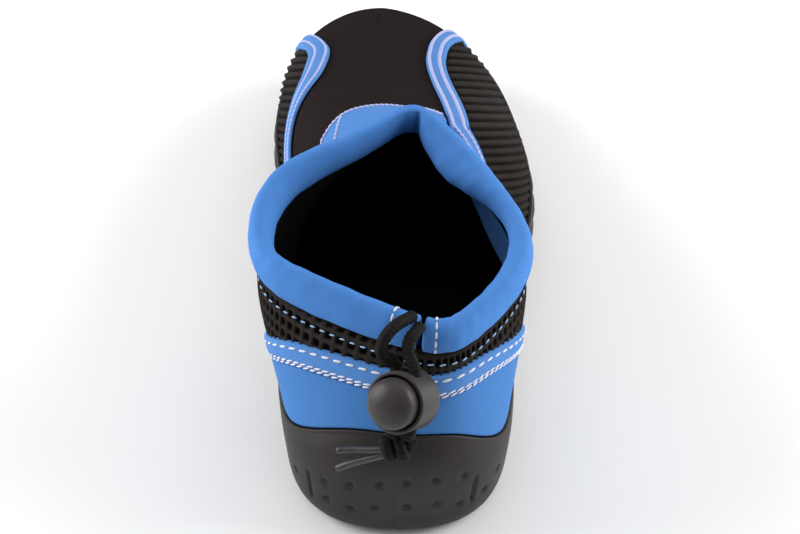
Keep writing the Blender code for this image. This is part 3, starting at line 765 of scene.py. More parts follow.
COAT_ROUGHNESS = 0.35
FINE_SHARE = 0.5
DUST = (0.5, 0.5, 0.5)
DUST_EDGE = 14.0
DUST_START = 9.6


@dataclass(frozen=True)
class Finish:
    """Look of one surface: its two tones, gloss, threads and unevenness, with sizes in metres."""

    name: str
    colour: Colour
    other: Colour
    roughness: float
    spread: float = 0.06
    weave: Weave | None = None
    pitch: float = 0.0008
    thread_depth: float = 0.00008
    thread_tone: float = 0.3
    grain_scale: float = 60.0
    grain_depth: float = 0.00006
    coat: float = 0.0
    specular: float = 0.5
    # Near-black colour painted into the mesh holes and valleys as their shade
    holes: Colour | None = None
    specks: float = 0.0

    def material(self) -> bpy.types.Material:
        """Builds the node material.

        Returns:
            The material.
        """
        made = bpy.data.materials.new(self.name)
        made.use_nodes = True
        tree = made.node_tree
        shader = tree.nodes["Principled BSDF"]
        shader.inputs["Coat Weight"].default_value = self.coat
        shader.inputs["Coat Roughness"].default_value = COAT_ROUGHNESS
        shader.inputs["Specular IOR Level"].default_value = self.specular
        place = put(tree, "ShaderNodeTexCoord")
        mottle = put(tree, "ShaderNodeGroup", node_tree=bpy.data.node_groups["mottle"])
        tree.links.new(place.outputs["Object"], mottle.inputs["Vector"])
        mottle.inputs["Scale"].default_value = self.grain_scale
        share = calc(tree, "MULTIPLY_ADD", mottle.outputs["Fine"], FINE_SHARE, -FINE_SHARE / 2)
        share = calc(tree, "ADD", share, mottle.outputs["Broad"])
        height = calc(tree, "MULTIPLY", mottle.outputs["Fine"], self.grain_depth)
        if self.weave:
            threads = put(tree, "ShaderNodeGroup", node_tree=bpy.data.node_groups["weave"])
            tree.links.new(place.outputs["UV"], threads.inputs["Vector"])
            threads.inputs["Turns"].default_value = 2 * math.pi / self.pitch
            threads.inputs["Slant"].default_value = self.weave.value
            low = calc(tree, "SUBTRACT", 0.5, threads.outputs["Height"])
            share = calc(tree, "MULTIPLY_ADD", low, self.thread_tone, share)
            height = calc(tree, "MULTIPLY_ADD", threads.outputs["Height"], self.thread_depth, height)
        share = put(tree, "ShaderNodeClamp", {0: share}).outputs[0]
        colour = mix_colour(tree, share, (*self.colour, 1.0), (*self.other, 1.0))
        if self.specks:
            dust = calc(tree, "MULTIPLY_ADD", mottle.outputs["Fine"], DUST_EDGE, -DUST_START)
            dust = put(tree, "ShaderNodeClamp", {0: dust, 2: self.specks}).outputs[0]
            colour = mix_colour(tree, dust, colour, (*DUST, 1.0))
        # Painted shade: the hole attribute darkens the mesh holes and valleys towards the holes colour
        if self.holes:
            hole = put(tree, "ShaderNodeAttribute", attribute_name="hole")
            colour = mix_colour(tree, hole.outputs["Fac"], colour, (*self.holes, 1.0))
        tree.links.new(colour, shader.inputs["Base Color"])
        least = self.roughness - self.spread
        gloss = calc(tree, "MULTIPLY_ADD", mottle.outputs["Broad"], 2 * self.spread, least)
        tree.links.new(gloss, shader.inputs["Roughness"])
        bump = put(tree, "ShaderNodeBump", {"Height": height, "Distance": 1.0})
        tree.links.new(bump.outputs[0], shader.inputs["Normal"])
        return made


def thread_finish(name: str, colour: Colour, other: Colour) -> Finish:
    """Finish of a sewing thread in two tones."""
    return Finish(name, colour, other, 0.6, grain_scale=200.0, grain_depth=0.00008)


RUBBER = Finish(
    "moulded_rubber",
    (0.024, 0.0195, 0.0185),
    (0.019, 0.0155, 0.0145),
    0.5,
    grain_scale=90.0,
    grain_depth=0.00008,
    specular=0.25,
    specks=0.05,
)
STRETCH = Finish(
    "stretch_cloth_black",
    (0.0220, 0.0170, 0.0168),
    (0.0176, 0.0136, 0.0136),
    0.85,
    weave=Weave.KNIT,
    pitch=0.0011,
    thread_depth=0.00005,
    grain_scale=30.0,
    specular=0.0,
)
MESH = Finish(
    "mesh_cloth_black",
    (0.033, 0.027, 0.025),
    (0.024, 0.020, 0.018),
    0.7,
    weave=Weave.KNIT,
    pitch=0.0009,
    grain_scale=70.0,
    specular=0.02,
    # Painted shade of the holes and the valleys between the ridges
    holes=(0.0012, 0.0010, 0.0010),
)
# Black lining cloth, darker than the outer black cloth: painted shade inside the shoe
LINING_WITH_PAINTED_SHADE = Finish(
    "lining_cloth_black_painted_shade",
    (0.0075, 0.0075, 0.0084),
    (0.0056, 0.0056, 0.0063),
    0.95,
    weave=Weave.KNIT,
    pitch=0.0015,
    specular=0.0,
)
BLUE_STRETCH = Finish(
    "stretch_cloth_blue",
    (0.060, 0.205, 0.550),
    (0.070, 0.228, 0.600),
    0.85,
    weave=Weave.TWILL,
    pitch=0.0010,
    thread_depth=0.00004,
    thread_tone=0.25,
    grain_scale=26.0,
    specular=0.18,
)
# Blue cloth darkened to dark blue: painted shade under the collar tube
FACING_PAINTED_SHADE = Finish(
    "facing_cloth_painted_shade_blue",
    (0.016, 0.042, 0.110),
    (0.022, 0.054, 0.135),
    0.9,
    weave=Weave.KNIT,
    pitch=0.0012,
    grain_scale=26.0,
    specular=0.02,
)
BLUE_TWILL = Finish(
    "twill_cloth_blue",
    (0.047, 0.175, 0.465),
    (0.062, 0.206, 0.515),
    0.8,
    weave=Weave.TWILL,
    pitch=0.0012,
    thread_depth=0.00005,
    thread_tone=0.5,
    grain_scale=24.0,
    specular=0.2,
)
BLUE_TAPE = Finish(
    "tape_cloth_blue",
    (0.066, 0.205, 0.520),
    (0.090, 0.250, 0.600),
    0.78,
    weave=Weave.KNIT,
    pitch=0.0012,
    thread_depth=0.00007,
    thread_tone=0.5,
    grain_scale=30.0,
    specular=0.2,
)
WHITE_THREAD = thread_finish("white_thread", (0.80, 0.78, 0.84), (0.66, 0.64, 0.74))
LAVENDER_THREAD = thread_finish("lavender_thread", (0.46, 0.48, 0.74), (0.36, 0.40, 0.67))
PALE_BLUE_THREAD = thread_finish("pale_blue_thread", (0.34, 0.52, 0.74), (0.24, 0.42, 0.66))
PLASTIC = Finish(
    "moulded_plastic",
    (0.044, 0.040, 0.038),
    (0.036, 0.032, 0.031),
    0.38,
    grain_scale=120.0,
    grain_depth=0.00003,
    coat=0.08,
    specular=0.2,
)
CORD = Finish(
    "braided_cord",
    (0.013, 0.012, 0.011),
    (0.007, 0.006, 0.006),
    0.75,
    grain_scale=250.0,
    grain_depth=0.00012,
    specular=0.12,
)
TIP = Finish("sealed_cord_end", (0.035, 0.033, 0.031), (0.026, 0.024, 0.023), 0.4, grain_scale=120.0)
FINISHES = (
    RUBBER,
    STRETCH,
    MESH,
    LINING_WITH_PAINTED_SHADE,
    BLUE_STRETCH,
    FACING_PAINTED_SHADE,
    BLUE_TWILL,
    BLUE_TAPE,
    WHITE_THREAD,
    LAVENDER_THREAD,
    PALE_BLUE_THREAD,
    PLASTIC,
    CORD,
    TIP,
)


def to_row(points: Array) -> Array:
    """Points in millimetres from the heel, as metres in the frame."""
    return (np.asarray(points, float) + SHIFT) * MM


def shaped_grid(
    columns: int,
    rows: int,
    place: Callable[[Array, Array], Array],
    flat: Callable[[Array, Array], Array] | None = None,
    marks: Callable[[Array, Array], Array] | None = None,
) -> BMesh:
    """Grid that is bent into a surface.

    Args:
        columns: Faces along its first direction.
        rows: Faces along its second.
        place: Points in mm at shares of the two directions.
        flat: The cloth's own flat places there, in mm, for its threads.
        marks: Painted shade of the mesh holes and valleys there, 0 to 1.

    Returns:
        The surface, in the frame's place.
    """
    bm = bmesh.new()
    bmesh.ops.create_grid(bm, x_segments=columns, y_segments=rows, size=1.0)
    shares = np.array([v.co[:2] for v in bm.verts]) / 2 + 0.5
    # Painted shade of the mesh holes and valleys, stored as the hole attribute
    if marks:
        layer = bm.verts.layers.float.new("hole")
        for vert, depth in zip(bm.verts, marks(*shares.T)):
            vert[layer] = depth
    for vert, point in zip(bm.verts, to_row(place(*shares.T))):
        vert.co = point
    if flat:
        layer = bm.loops.layers.uv.new("cloth")
        spots = flat(*shares.T) * MM
        bm.verts.index_update()
        for face in bm.faces:
            for loop in face.loops:
                loop[layer].uv = spots[loop.vert.index]
    return bm


def add_piece(
    name: str,
    bm: BMesh,
    finishes: Sequence[Finish],
    stands_for: Sequence[str] = (),
    body: str = "shoe",
) -> bpy.types.Object:
    """Makes an object that rides on a body of the frame.

    Args:
        name: Name of the piece.
        bm: Its mesh, in the frame's place.
        finishes: Its materials.
        stands_for: CAD nodes that it replaces.
        body: Body that it rides on.

    Returns:
        The object.
    """
    mesh = bpy.data.meshes.new(name)
    bm.to_mesh(mesh)
    bm.free()
    mesh.shade_smooth()
    for finish in finishes:
        mesh.materials.append(bpy.data.materials[finish.name])
    piece = bpy.data.objects.new(name, mesh)
    bpy.context.scene.collection.objects.link(piece)
    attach(piece, body)
    if stands_for:
        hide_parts(*stands_for)
    LOG.info("%s: %d faces", name, len(mesh.polygons))
    return piece


def close_mesh(bm: BMesh) -> BMesh:
    """Merges doubled points and turns the faces outwards."""
    bmesh.ops.remove_doubles(bm, verts=bm.verts, dist=WELD)
    bmesh.ops.recalc_face_normals(bm, faces=bm.faces)
    return bm


def thicken(piece: bpy.types.Object, thickness: float, lining: int = 0) -> None:
    """Gives a sheet its thickness on its inner side.

    Args:
        piece: The sheet.
        thickness: Its thickness, in mm.
        lining: How many materials after the outer one its inside and edge have theirs.
    """
    wall = piece.modifiers.new("thickness", "SOLIDIFY")
    wall.thickness = thickness * MM
    wall.offset = -1.0
    wall.material_offset = lining
    wall.material_offset_rim = lining


def add_sheet(
    name: str, bm: BMesh, finish: Finish, thickness: float, stands_for: Sequence[str] = ()
) -> None:
    """Makes a sheet of cloth that faces outwards.

    Args:
        name: Name of the piece.
        bm: Its outer face, in the frame's place.
        finish: Its material.
        thickness: Its thickness, in mm.
        stands_for: CAD nodes that it replaces.
    """
    bmesh.ops.recalc_face_normals(bm, faces=bm.faces)
    thicken(add_piece(name, bm, [finish], stands_for), thickness)


@dataclass(frozen=True)
class Stitching:
    """Row of stitches: their spacing and length along the row, the thread's width and its lift, in mm."""

    pitch: float
    length: float
    width: float
    lift: float = 0.1
    slant: float = 0.0
    flatness: float = 0.8

    def sew(self, bm: BMesh, path: Array, normals: Array) -> None:
        """Adds the stitches along a line.

        Args:
            bm: Mesh that takes them.
            path: Points of the line, in mm.
            normals: Directions out of the cloth at those points.
        """
        run = run_along(path)

        def at(place: float, rows: Array) -> Array:
            """Row of values at a length along the line."""
            return np.array([np.interp(place, run, column) for column in rows.T])

        for middle in np.arange(self.pitch / 2, run[-1], self.pitch):
            back, ahead = at(middle - self.length / 2, path), at(middle + self.length / 2, path)
            up = unit(at(middle, normals))
            along = unit(ahead - back)
            side = unit(np.cross(up, along))
            along = unit(along + side * self.slant)
            side = np.cross(up, along)
            sizes = [along * self.length, side * self.width, up * self.width * self.flatness]
            matrix = Matrix((np.stack(sizes, 1) * MM / 2).tolist()).to_4x4()
            matrix.translation = to_row(at(middle, path) + up * self.lift)
            bmesh.ops.create_uvsphere(bm, u_segments=8, v_segments=5, radius=1.0, matrix=matrix)


# Direction that the frames along a cord start from
FRAME_START = np.array([0.3, -0.8, 0.5])
# Strands of the braid each way round a cord
STRANDS = 4


def tube_frames(path: Array) -> tuple[Array, Array]:
    """Two directions across a line at each of its points, turned as little as can be.

    Args:
        path: Points of the line.

    Returns:
        First and second direction at each point.
    """
    along = unit(np.gradient(path, axis=0))
    first = [unit(np.cross(along[0], FRAME_START))]
    for tangent in along[1:]:
        first.append(unit(first[-1] - tangent * (first[-1] @ tangent)))
    first = np.array(first)
    return first, np.cross(along, first)


def cord_radii(count: int, radius: float) -> Array:
    """Radius at each point of a cord, 0 at both ends to close it."""
    radii = np.full(count, radius)
    radii[[0, -1]] = 0.0
    return radii


def add_tube(bm: BMesh, path: Array, radii: Array, sides: int, relief: float, lay: float) -> None:
    """Adds a round cord with a braided surface, closed at both ends.

    Args:
        bm: Mesh that takes it.
        path: Points of its middle line, in mm.
        radii: Its radius at each point.
        sides: Faces round it.
        relief: Share of the radius by which the strands of the braid stand out.
        lay: Length in mm in which a strand goes once round.
    """
    first, second = tube_frames(path)
    run = run_along(path)
    count = len(path) - 1

    def place(along: Array, round_: Array) -> Array:
        """Points on the cord."""
        i = column_of(along, count)
        turn = 2 * np.pi * round_
        phase = 2 * np.pi * run[i] / lay * STRANDS
        braid = np.cos(STRANDS * turn + phase) * np.cos(STRANDS * turn - phase)
        radius = radii[i] * (1 + relief * braid)
        by_first = first[i] * (radius * np.cos(turn))[:, None]
        by_second = second[i] * (radius * np.sin(turn))[:, None]
        return path[i] + by_first + by_second

    tube = close_mesh(shaped_grid(count, sides, place))
    mesh = bpy.data.meshes.new("cord_part")
    tube.to_mesh(mesh)
    tube.free()
    bm.from_mesh(mesh)
    bpy.data.meshes.remove(mesh)


@dataclass
class Outsole:
    """Rubber cup sole, in mm. The spans of its ribs and bars are a start, an end and a fade, as ways."""

    last: Last
    seat: float = 0.6
    wall: float = 2.8
    rim_wall: float = 1.8
    edge_inset: float = 6.0
    edge_height: float = 9.0
    tread_depth: float = 1.6
    tread_pitch: float = 14.6
    rib_height: float = 1.1
    rib_span: tuple[float, float, float] = (0.40, 0.95, 0.04)
    bar_span: tuple[float, float, float] = (0.16, 0.96, 0.02)
    bar_steepness: float = 0.95
    bar_start: float = 0.125
    seam_step: float = 0.15
    seam_width: float = 2.4
    heel_step: float = 0.5
    side_step: float = 1.25
    heel_end: float = 0.15
    wall_rows: int = 58
    bottom_columns: int = 26
    dimple_size: tuple[float, float, float] = (1.35, 1.15, 1.1)
    dimple_reach: float = 1.35
    groove_depth: float = 1.1
    groove_width: float = 0.55
    groove_reach: float = 1.6
    groove_fade: float = 1.5
    parting_depth: float = 0.25
    parting_place: float = -0.9
    parting_width: float = 0.25
    parting_top: float = 34.0
    parting_fade: float = 3.0
    rim_round: float = 0.35
    sipe_fade: float = 0.03

    def ways(self) -> Array:
        """Places the cross-sections close together round the heel and wider along the sides.

        Returns:
            Their ways.
        """
        length = self.last.half_round
        seam = np.arange(0, self.seam_width, self.seam_step) / length
        heel = np.arange(self.seam_width / length, self.heel_end, self.heel_step / length)
        count = round((1 - self.heel_end) * length / self.side_step)
        return np.concatenate([seam, heel, np.linspace(self.heel_end, 1, count)])

    def bar(self, way: Array) -> Array:
        """1 on a tread bar and its rib, 0 in the groove between two."""
        turns = way * self.last.half_round / self.tread_pitch
        return smooth_step(0.5 + self.bar_steepness * np.cos(2 * np.pi * (turns - self.bar_start)))

    def relief(self, way: Array, height: Array) -> Array:
        """Depth of the marks in the heel's wall.

        Args:
            way: Ways from the heel, below 0 on the inner side.
            height: Heights above the floor.

        Returns:
            Depths in mm.
        """
        along = way * self.last.half_round
        wide, tall, depth = self.dimple_size
        cut = np.zeros_like(height)
        for row in DIMPLES:
            away = np.hypot((along - row.way * self.last.half_round) / wide, (height - row.high) / tall)
            cut = np.maximum(cut, depth * smooth_step(self.dimple_reach - away))
        for groove in GROOVES:
            away = np.abs(along - groove.way * self.last.half_round) / self.groove_width
            span = within(height, groove.low, groove.high, self.groove_fade)
            cut = np.maximum(cut, self.groove_depth * smooth_step(self.groove_reach - away) * span)
        parting = self.parting_depth * hump(along, self.parting_place, self.parting_width)
        return np.maximum(cut, parting * smooth_step((self.parting_top - height) / self.parting_fade))

    def half_section(self, ways: Array, inner: bool) -> Array:
        """Sections of one side from the bottom edge over the wall and rim to the cup's floor.

        Args:
            ways: Ways along the side, 0 to 1.
            inner: True on the inner side of the foot.

        Returns:
            Points by section and row.
        """
        last = self.last
        at = 2 - ways if inner else ways
        base = last.outline(at)
        out = last.outward(at)
        bar = self.bar(ways)
        dent = self.rib_height * (1 - bar) * within(ways, *self.rib_span)
        groove = self.tread_depth * (1 - bar) * within(ways, *self.bar_span)
        bottom = last.sole_bottom(base[:, 1]) + groove
        foot = np.column_stack([base, bottom])
        rim = last.rim(at)[:, 0]
        low = last.cup_floor(base[:, 1]) + last.gap
        rises = [last.rise_at(at, low + (rim - low) * share) for share in (0.0, 0.25, 0.5, 0.75, 1.0)]
        wall = self.seat + self.wall
        knots = [
            foot + out * (wall - inset * self.edge_inset - dent)[:, None] + UP * up * self.edge_height
            for inset, up in BOTTOM_EDGE
        ]
        knots.append(last.off(at, rises[2], wall - dent))
        lip = last.off(at, rises[4], self.seat + self.rim_wall)
        knots.append(lip - UP)
        curve = Spline(WALL_KNOTS, np.stack(knots).reshape(len(knots), -1))
        shares = np.linspace(0, 1, self.wall_rows)
        rows = curve(shares).reshape(self.wall_rows, len(ways), 3).swapaxes(0, 1)
        face = np.cross(np.gradient(rows, axis=0), np.gradient(rows, axis=1))
        face = unit(face) * (-1 if inner else 1)
        signed = -ways if inner else ways
        rows = rows - face * self.relief(signed[:, None], rows[..., 2])[..., None]
        inside = last.off(at, rises[4], self.seat)
        rim_points = [
            lip - UP * self.rim_round,
            lip * 0.75 + inside * 0.25,
            lip * 0.25 + inside * 0.75,
            inside - UP * self.rim_round,
        ]
        walls = [last.off(at, rises[i], self.seat) for i in (3, 2, 1)]
        floor = np.column_stack([last.off(at, rises[0], self.seat)[:, :2], last.cup_floor(base[:, 1])])
        return np.concatenate([rows, np.stack([*rim_points, *walls, floor], 1)], 1)

    def build(self) -> None:
        """Makes the sole."""
        ways = self.ways()
        outer = self.half_section(ways, inner=False)
        inner = self.half_section(ways, inner=True)
        across = np.linspace(0, 1, self.bottom_columns)[1:-1]
        first, second = inner[:, :1], outer[:, :1]
        bottom = first + (second - first) * across[None, :, None]
        cut = sum(hump(np.abs(across - 0.5), *sipe) for sipe in SIPES)
        barred = smooth_step((ways - self.bar_span[0]) / self.sipe_fade)
        bottom[..., 2] += np.minimum(1.0, cut) * barred[:, None]
        bottom[..., 2] = np.maximum(bottom[..., 2], 0.0)
        rings = np.concatenate([outer, inner[:, ::-1], bottom, outer[:, :1]], 1)
        sections, count = len(ways) - 1, rings.shape[1] - 1

        def place(along: Array, round_: Array) -> Array:
            """Points of the rings."""
            return rings[column_of(along, sections), column_of(round_, count)]

        bm = close_mesh(shaped_grid(sections, count, place))
        add_piece("rubber_cup_sole", bm, [RUBBER], ["outsole"])


@dataclass(frozen=True)
class MeshCloth:
    """Pattern of a mesh cloth, in mm: spacing, half size and depth of its holes, and height of its ridges.

    The last two values are the shade painted into its holes and into the valleys between its ridges, 0 to 1.
    """

    apart: tuple[float, float]
    hole: tuple[float, float]
    depth: float
    ridge: float
    painted_shade: float
    valley_shade: float

    def cut(self, across: Array, up: Array) -> Array:
        """Works out the pattern at places on the cloth.

        Args:
            across: Lengths across its columns.
            up: Lengths up its columns.

        Returns:
            Painted shade of the holes and valleys, 0 to 1, and the depth cut there.
        """
        turn, row = across / self.apart[0], up / self.apart[1]
        wide = (turn - np.rint(turn)) * self.apart[0] / self.hole[0]
        tall = (row - np.rint(row)) * self.apart[1] / self.hole[1]
        wave = np.cos(2 * np.pi * turn)
        away = (wide**4 + tall**4) ** 0.25
        # Painted shade in the holes, and in the valleys between the ridges
        hole = smooth_step((HOLE_EDGE - away) / HOLE_FADE) * self.painted_shade
        painted_shade = np.maximum(hole, smooth_step(wave + VALLEY_WIDTH) * self.valley_shade)
        return np.stack([painted_shade, self.depth * painted_shade + self.ridge * wave])


HOLE_EDGE = 1.25
HOLE_FADE = 0.5
VALLEY_WIDTH = 0.3
# Their last two values are painted shade in the holes and in the valleys
REAR_MESH = MeshCloth((3.4, 4.4), (1.05, 1.35), 0.6, 0.12, 1.0, 0.0)
FORE_MESH = MeshCloth((5.1, 3.5), (1.25, 1.05), 0.12, 0.45, 0.9, 0.85)


@dataclass
class Upper:
    """Black stretch upper with its lining, and the mesh panels on its sides, in mm.

    The spans of the crease and the tuck are the rise where they start and how far they take to form. The
    mesh ends are the ways of its front ends on the outer and the inner side. Its fore span is where the
    pattern changes to the forefoot's and how far that takes. Its lean is how its ridges slope with height.
    """

    last: Last
    wall: float = 2.0
    columns: int = 340
    rows: int = 52
    crease_span: Span = (0.72, 0.2)
    collar_tuck: float = 1.8
    tuck_span: Span = (0.97, 0.03)
    tuck_fade: float = 0.03
    footbed_columns: int = 90
    footbed_rows: int = 24
    footbed_top: float = 4.1
    footbed_dish: float = 0.8
    footbed_thickness: float = 3.2
    mesh_columns: int = 620
    mesh_rows: int = 84
    mesh_seat: float = 0.3
    mesh_offset: float = 0.85
    mesh_ends: Span = (0.888, 0.855)
    fore_span: Span = (0.32, 0.05)
    lean: float = 1.5
    under_band: float = 3.3
    under_tape: float = 4.0
    under_rim: float = 2.0
    tape_end: float = 0.31
    band_lead: float = 0.03
    least_rise: float = 0.02

    def build(self) -> None:
        """Makes the upper, its footbed and its mesh sides."""
        self.build_shell()
        self.build_footbed()
        for inner in (False, True):
            self.build_mesh(inner)

    def build_shell(self) -> None:
        """Makes the hollow upper with its black lining, whose extra darkness is painted shade inside the
        shoe.
        """
        last = self.last

        def place(u: Array, v: Array) -> Array:
            """Points of the outside, with creases across the vamp and its top edge inside the collar tube."""
            points = last.point(2 * u, v)
            vamp = smooth_step((v - self.crease_span[0]) / self.crease_span[1])
            crease = sum(row.depth * hump(points[:, 1], row.along, row.width) for row in CREASES)
            tuck = self.collar_tuck * smooth_step((v - self.tuck_span[0]) / self.tuck_span[1])
            tuck = tuck * smooth_step((last.throat_way - last.side_way(2 * u)) / self.tuck_fade)
            return points + UP * (tuck - crease * vamp)[:, None]

        def flat(u: Array, v: Array) -> Array:
            """Flat places of the cloth."""
            return last.point(2 * u, v)[:, :2] + CLOTH_SHIFT

        bm = close_mesh(shaped_grid(self.columns, self.rows, place, flat))
        piece = add_piece("stretch_upper", bm, [STRETCH, LINING_WITH_PAINTED_SHADE], ["upper"])
        thicken(piece, self.wall, lining=1)

    def build_footbed(self) -> None:
        """Makes the footbed that lies in the cup, in the black lining cloth whose extra darkness is painted
        shade.
        """
        last = self.last
        inset = self.wall + 2 * last.gap

        def place(u: Array, v: Array) -> Array:
            """Points across the footbed, dished a little along its middle."""
            outer = last.outline(u) - last.outward(u)[:, :2] * inset
            inner = last.outline(2 - u) - last.outward(2 - u)[:, :2] * inset
            level = outer + (inner - outer) * v[:, None]
            dish = self.footbed_dish * np.sin(np.pi * v) * np.sin(np.pi * u)
            return np.column_stack([level, last.cup_floor(level[:, 1]) + self.footbed_top - dish])

        def flat(u: Array, v: Array) -> Array:
            """Flat places of the cover."""
            return place(u, v)[:, :2] + CLOTH_SHIFT

        bm = close_mesh(shaped_grid(self.footbed_columns, self.footbed_rows, place, flat))
        piece = add_piece("footbed", bm, [LINING_WITH_PAINTED_SHADE], ["insole"])
        thicken(piece, self.footbed_thickness)

    def mesh_edges(self, ways: Array, inner: bool) -> tuple[Array, Array]:
        """Edges of a mesh panel: the lower under the sole or tape, the upper under the band or collar.

        Args:
            ways: Ways along its side, 0 to 1.
            inner: True on the inner side of the foot.

        Returns:
            Rises of the lower and the upper edge.
        """
        last = self.last
        at = 2 - ways if inner else ways
        signed = np.clip(-ways if inner else ways, -self.tape_end, self.tape_end)
        tape = np.where(ways < self.tape_end, last.tape(signed)[:, 0] - self.under_tape, 0.0)
        low = last.rise_at(at, np.maximum(last.rim(at)[:, 0] - self.under_rim, tape))
        band = BAND_INNER if inner else BAND_OUTER
        places = sorted((2 - p.way if inner else p.way, p.rise) for p in band)
        middle = np.interp(ways, [p[0] for p in places], [p[1] for p in places])
        first, start = places[0]
        drop = (1.0 - start) * smooth_step((ways - first + self.band_lead) / self.band_lead)
        high = np.where(ways < first, 1.0 - drop, middle)
        return low, np.maximum(high, low + self.least_rise)

    def build_mesh(self, inner: bool) -> None:
        """Makes the mesh panel of one side, from the heel to the band's end at the toe.

        Args:
            inner: True on the inner side of the foot.
        """
        last = self.last
        ways = np.linspace(0, self.mesh_ends[inner], self.mesh_columns + 1)
        at = 2 - ways if inner else ways
        low, high = self.mesh_edges(ways, inner)
        climbs = np.stack([last.climb(at, low), last.climb(at, high)])
        along = ways * last.half_round
        slope = np.gradient(climbs[1], along)
        band_end = min(2 - p.way for p in BAND_INNER) if inner else min(p.way for p in BAND_OUTER)
        tuck = self.under_band * smooth_step((ways - band_end) / 0.02)
        fore = smooth_step((ways - self.fore_span[0]) / self.fore_span[1])

        def spot(u: Array, v: Array) -> tuple[Array, Array, Array, Array]:
            """Column, way, rise and the length up the cloth."""
            i = column_of(u, self.mesh_columns)
            return i, at[i], low[i] + (high - low)[i] * v, climbs[0][i] + (climbs[1] - climbs[0])[i] * v

        def pattern(u: Array, v: Array) -> Array:
            """Painted shade of the holes and valleys and the depth cut there, faded from the rear's to the
            forefoot's.
            """
            i, way, rise, up = spot(u, v)
            level = last.point(way, rise) @ np.array([0.0, 1.0, self.lean])
            rear, front = REAR_MESH.cut(along[i], up), FORE_MESH.cut(level, up)
            return rear + (front - rear) * fore[i]

        def place(u: Array, v: Array) -> Array:
            """Points of the mesh with its holes and ridges, flat where a band covers it."""
            i, way, rise, _ = spot(u, v)
            under = (climbs[1] - climbs[0])[i] * (1 - v) / np.hypot(1.0, slope[i])
            under = np.minimum(under, along[-1] - along[i])
            edge = smooth_step(np.minimum(v / 0.06, under - tuck[i]))
            height = self.mesh_offset - self.mesh_seat - pattern(u, v)[1]
            return last.off(way, rise, self.mesh_seat + edge * height)

        def flat(u: Array, v: Array) -> Array:
            """Flat places of the mesh."""
            i, _, _, up = spot(u, v)
            return np.column_stack([along[i], up])

        # The pattern's first row is the painted shade of the holes and valleys
        bm = shaped_grid(self.mesh_columns, self.mesh_rows, place, flat, lambda u, v: pattern(u, v)[0])
        if inner:
            bmesh.ops.reverse_faces(bm, faces=bm.faces)
        side = "inner" if inner else "outer"
        add_piece(f"mesh_side_{side}", bm, [MESH])


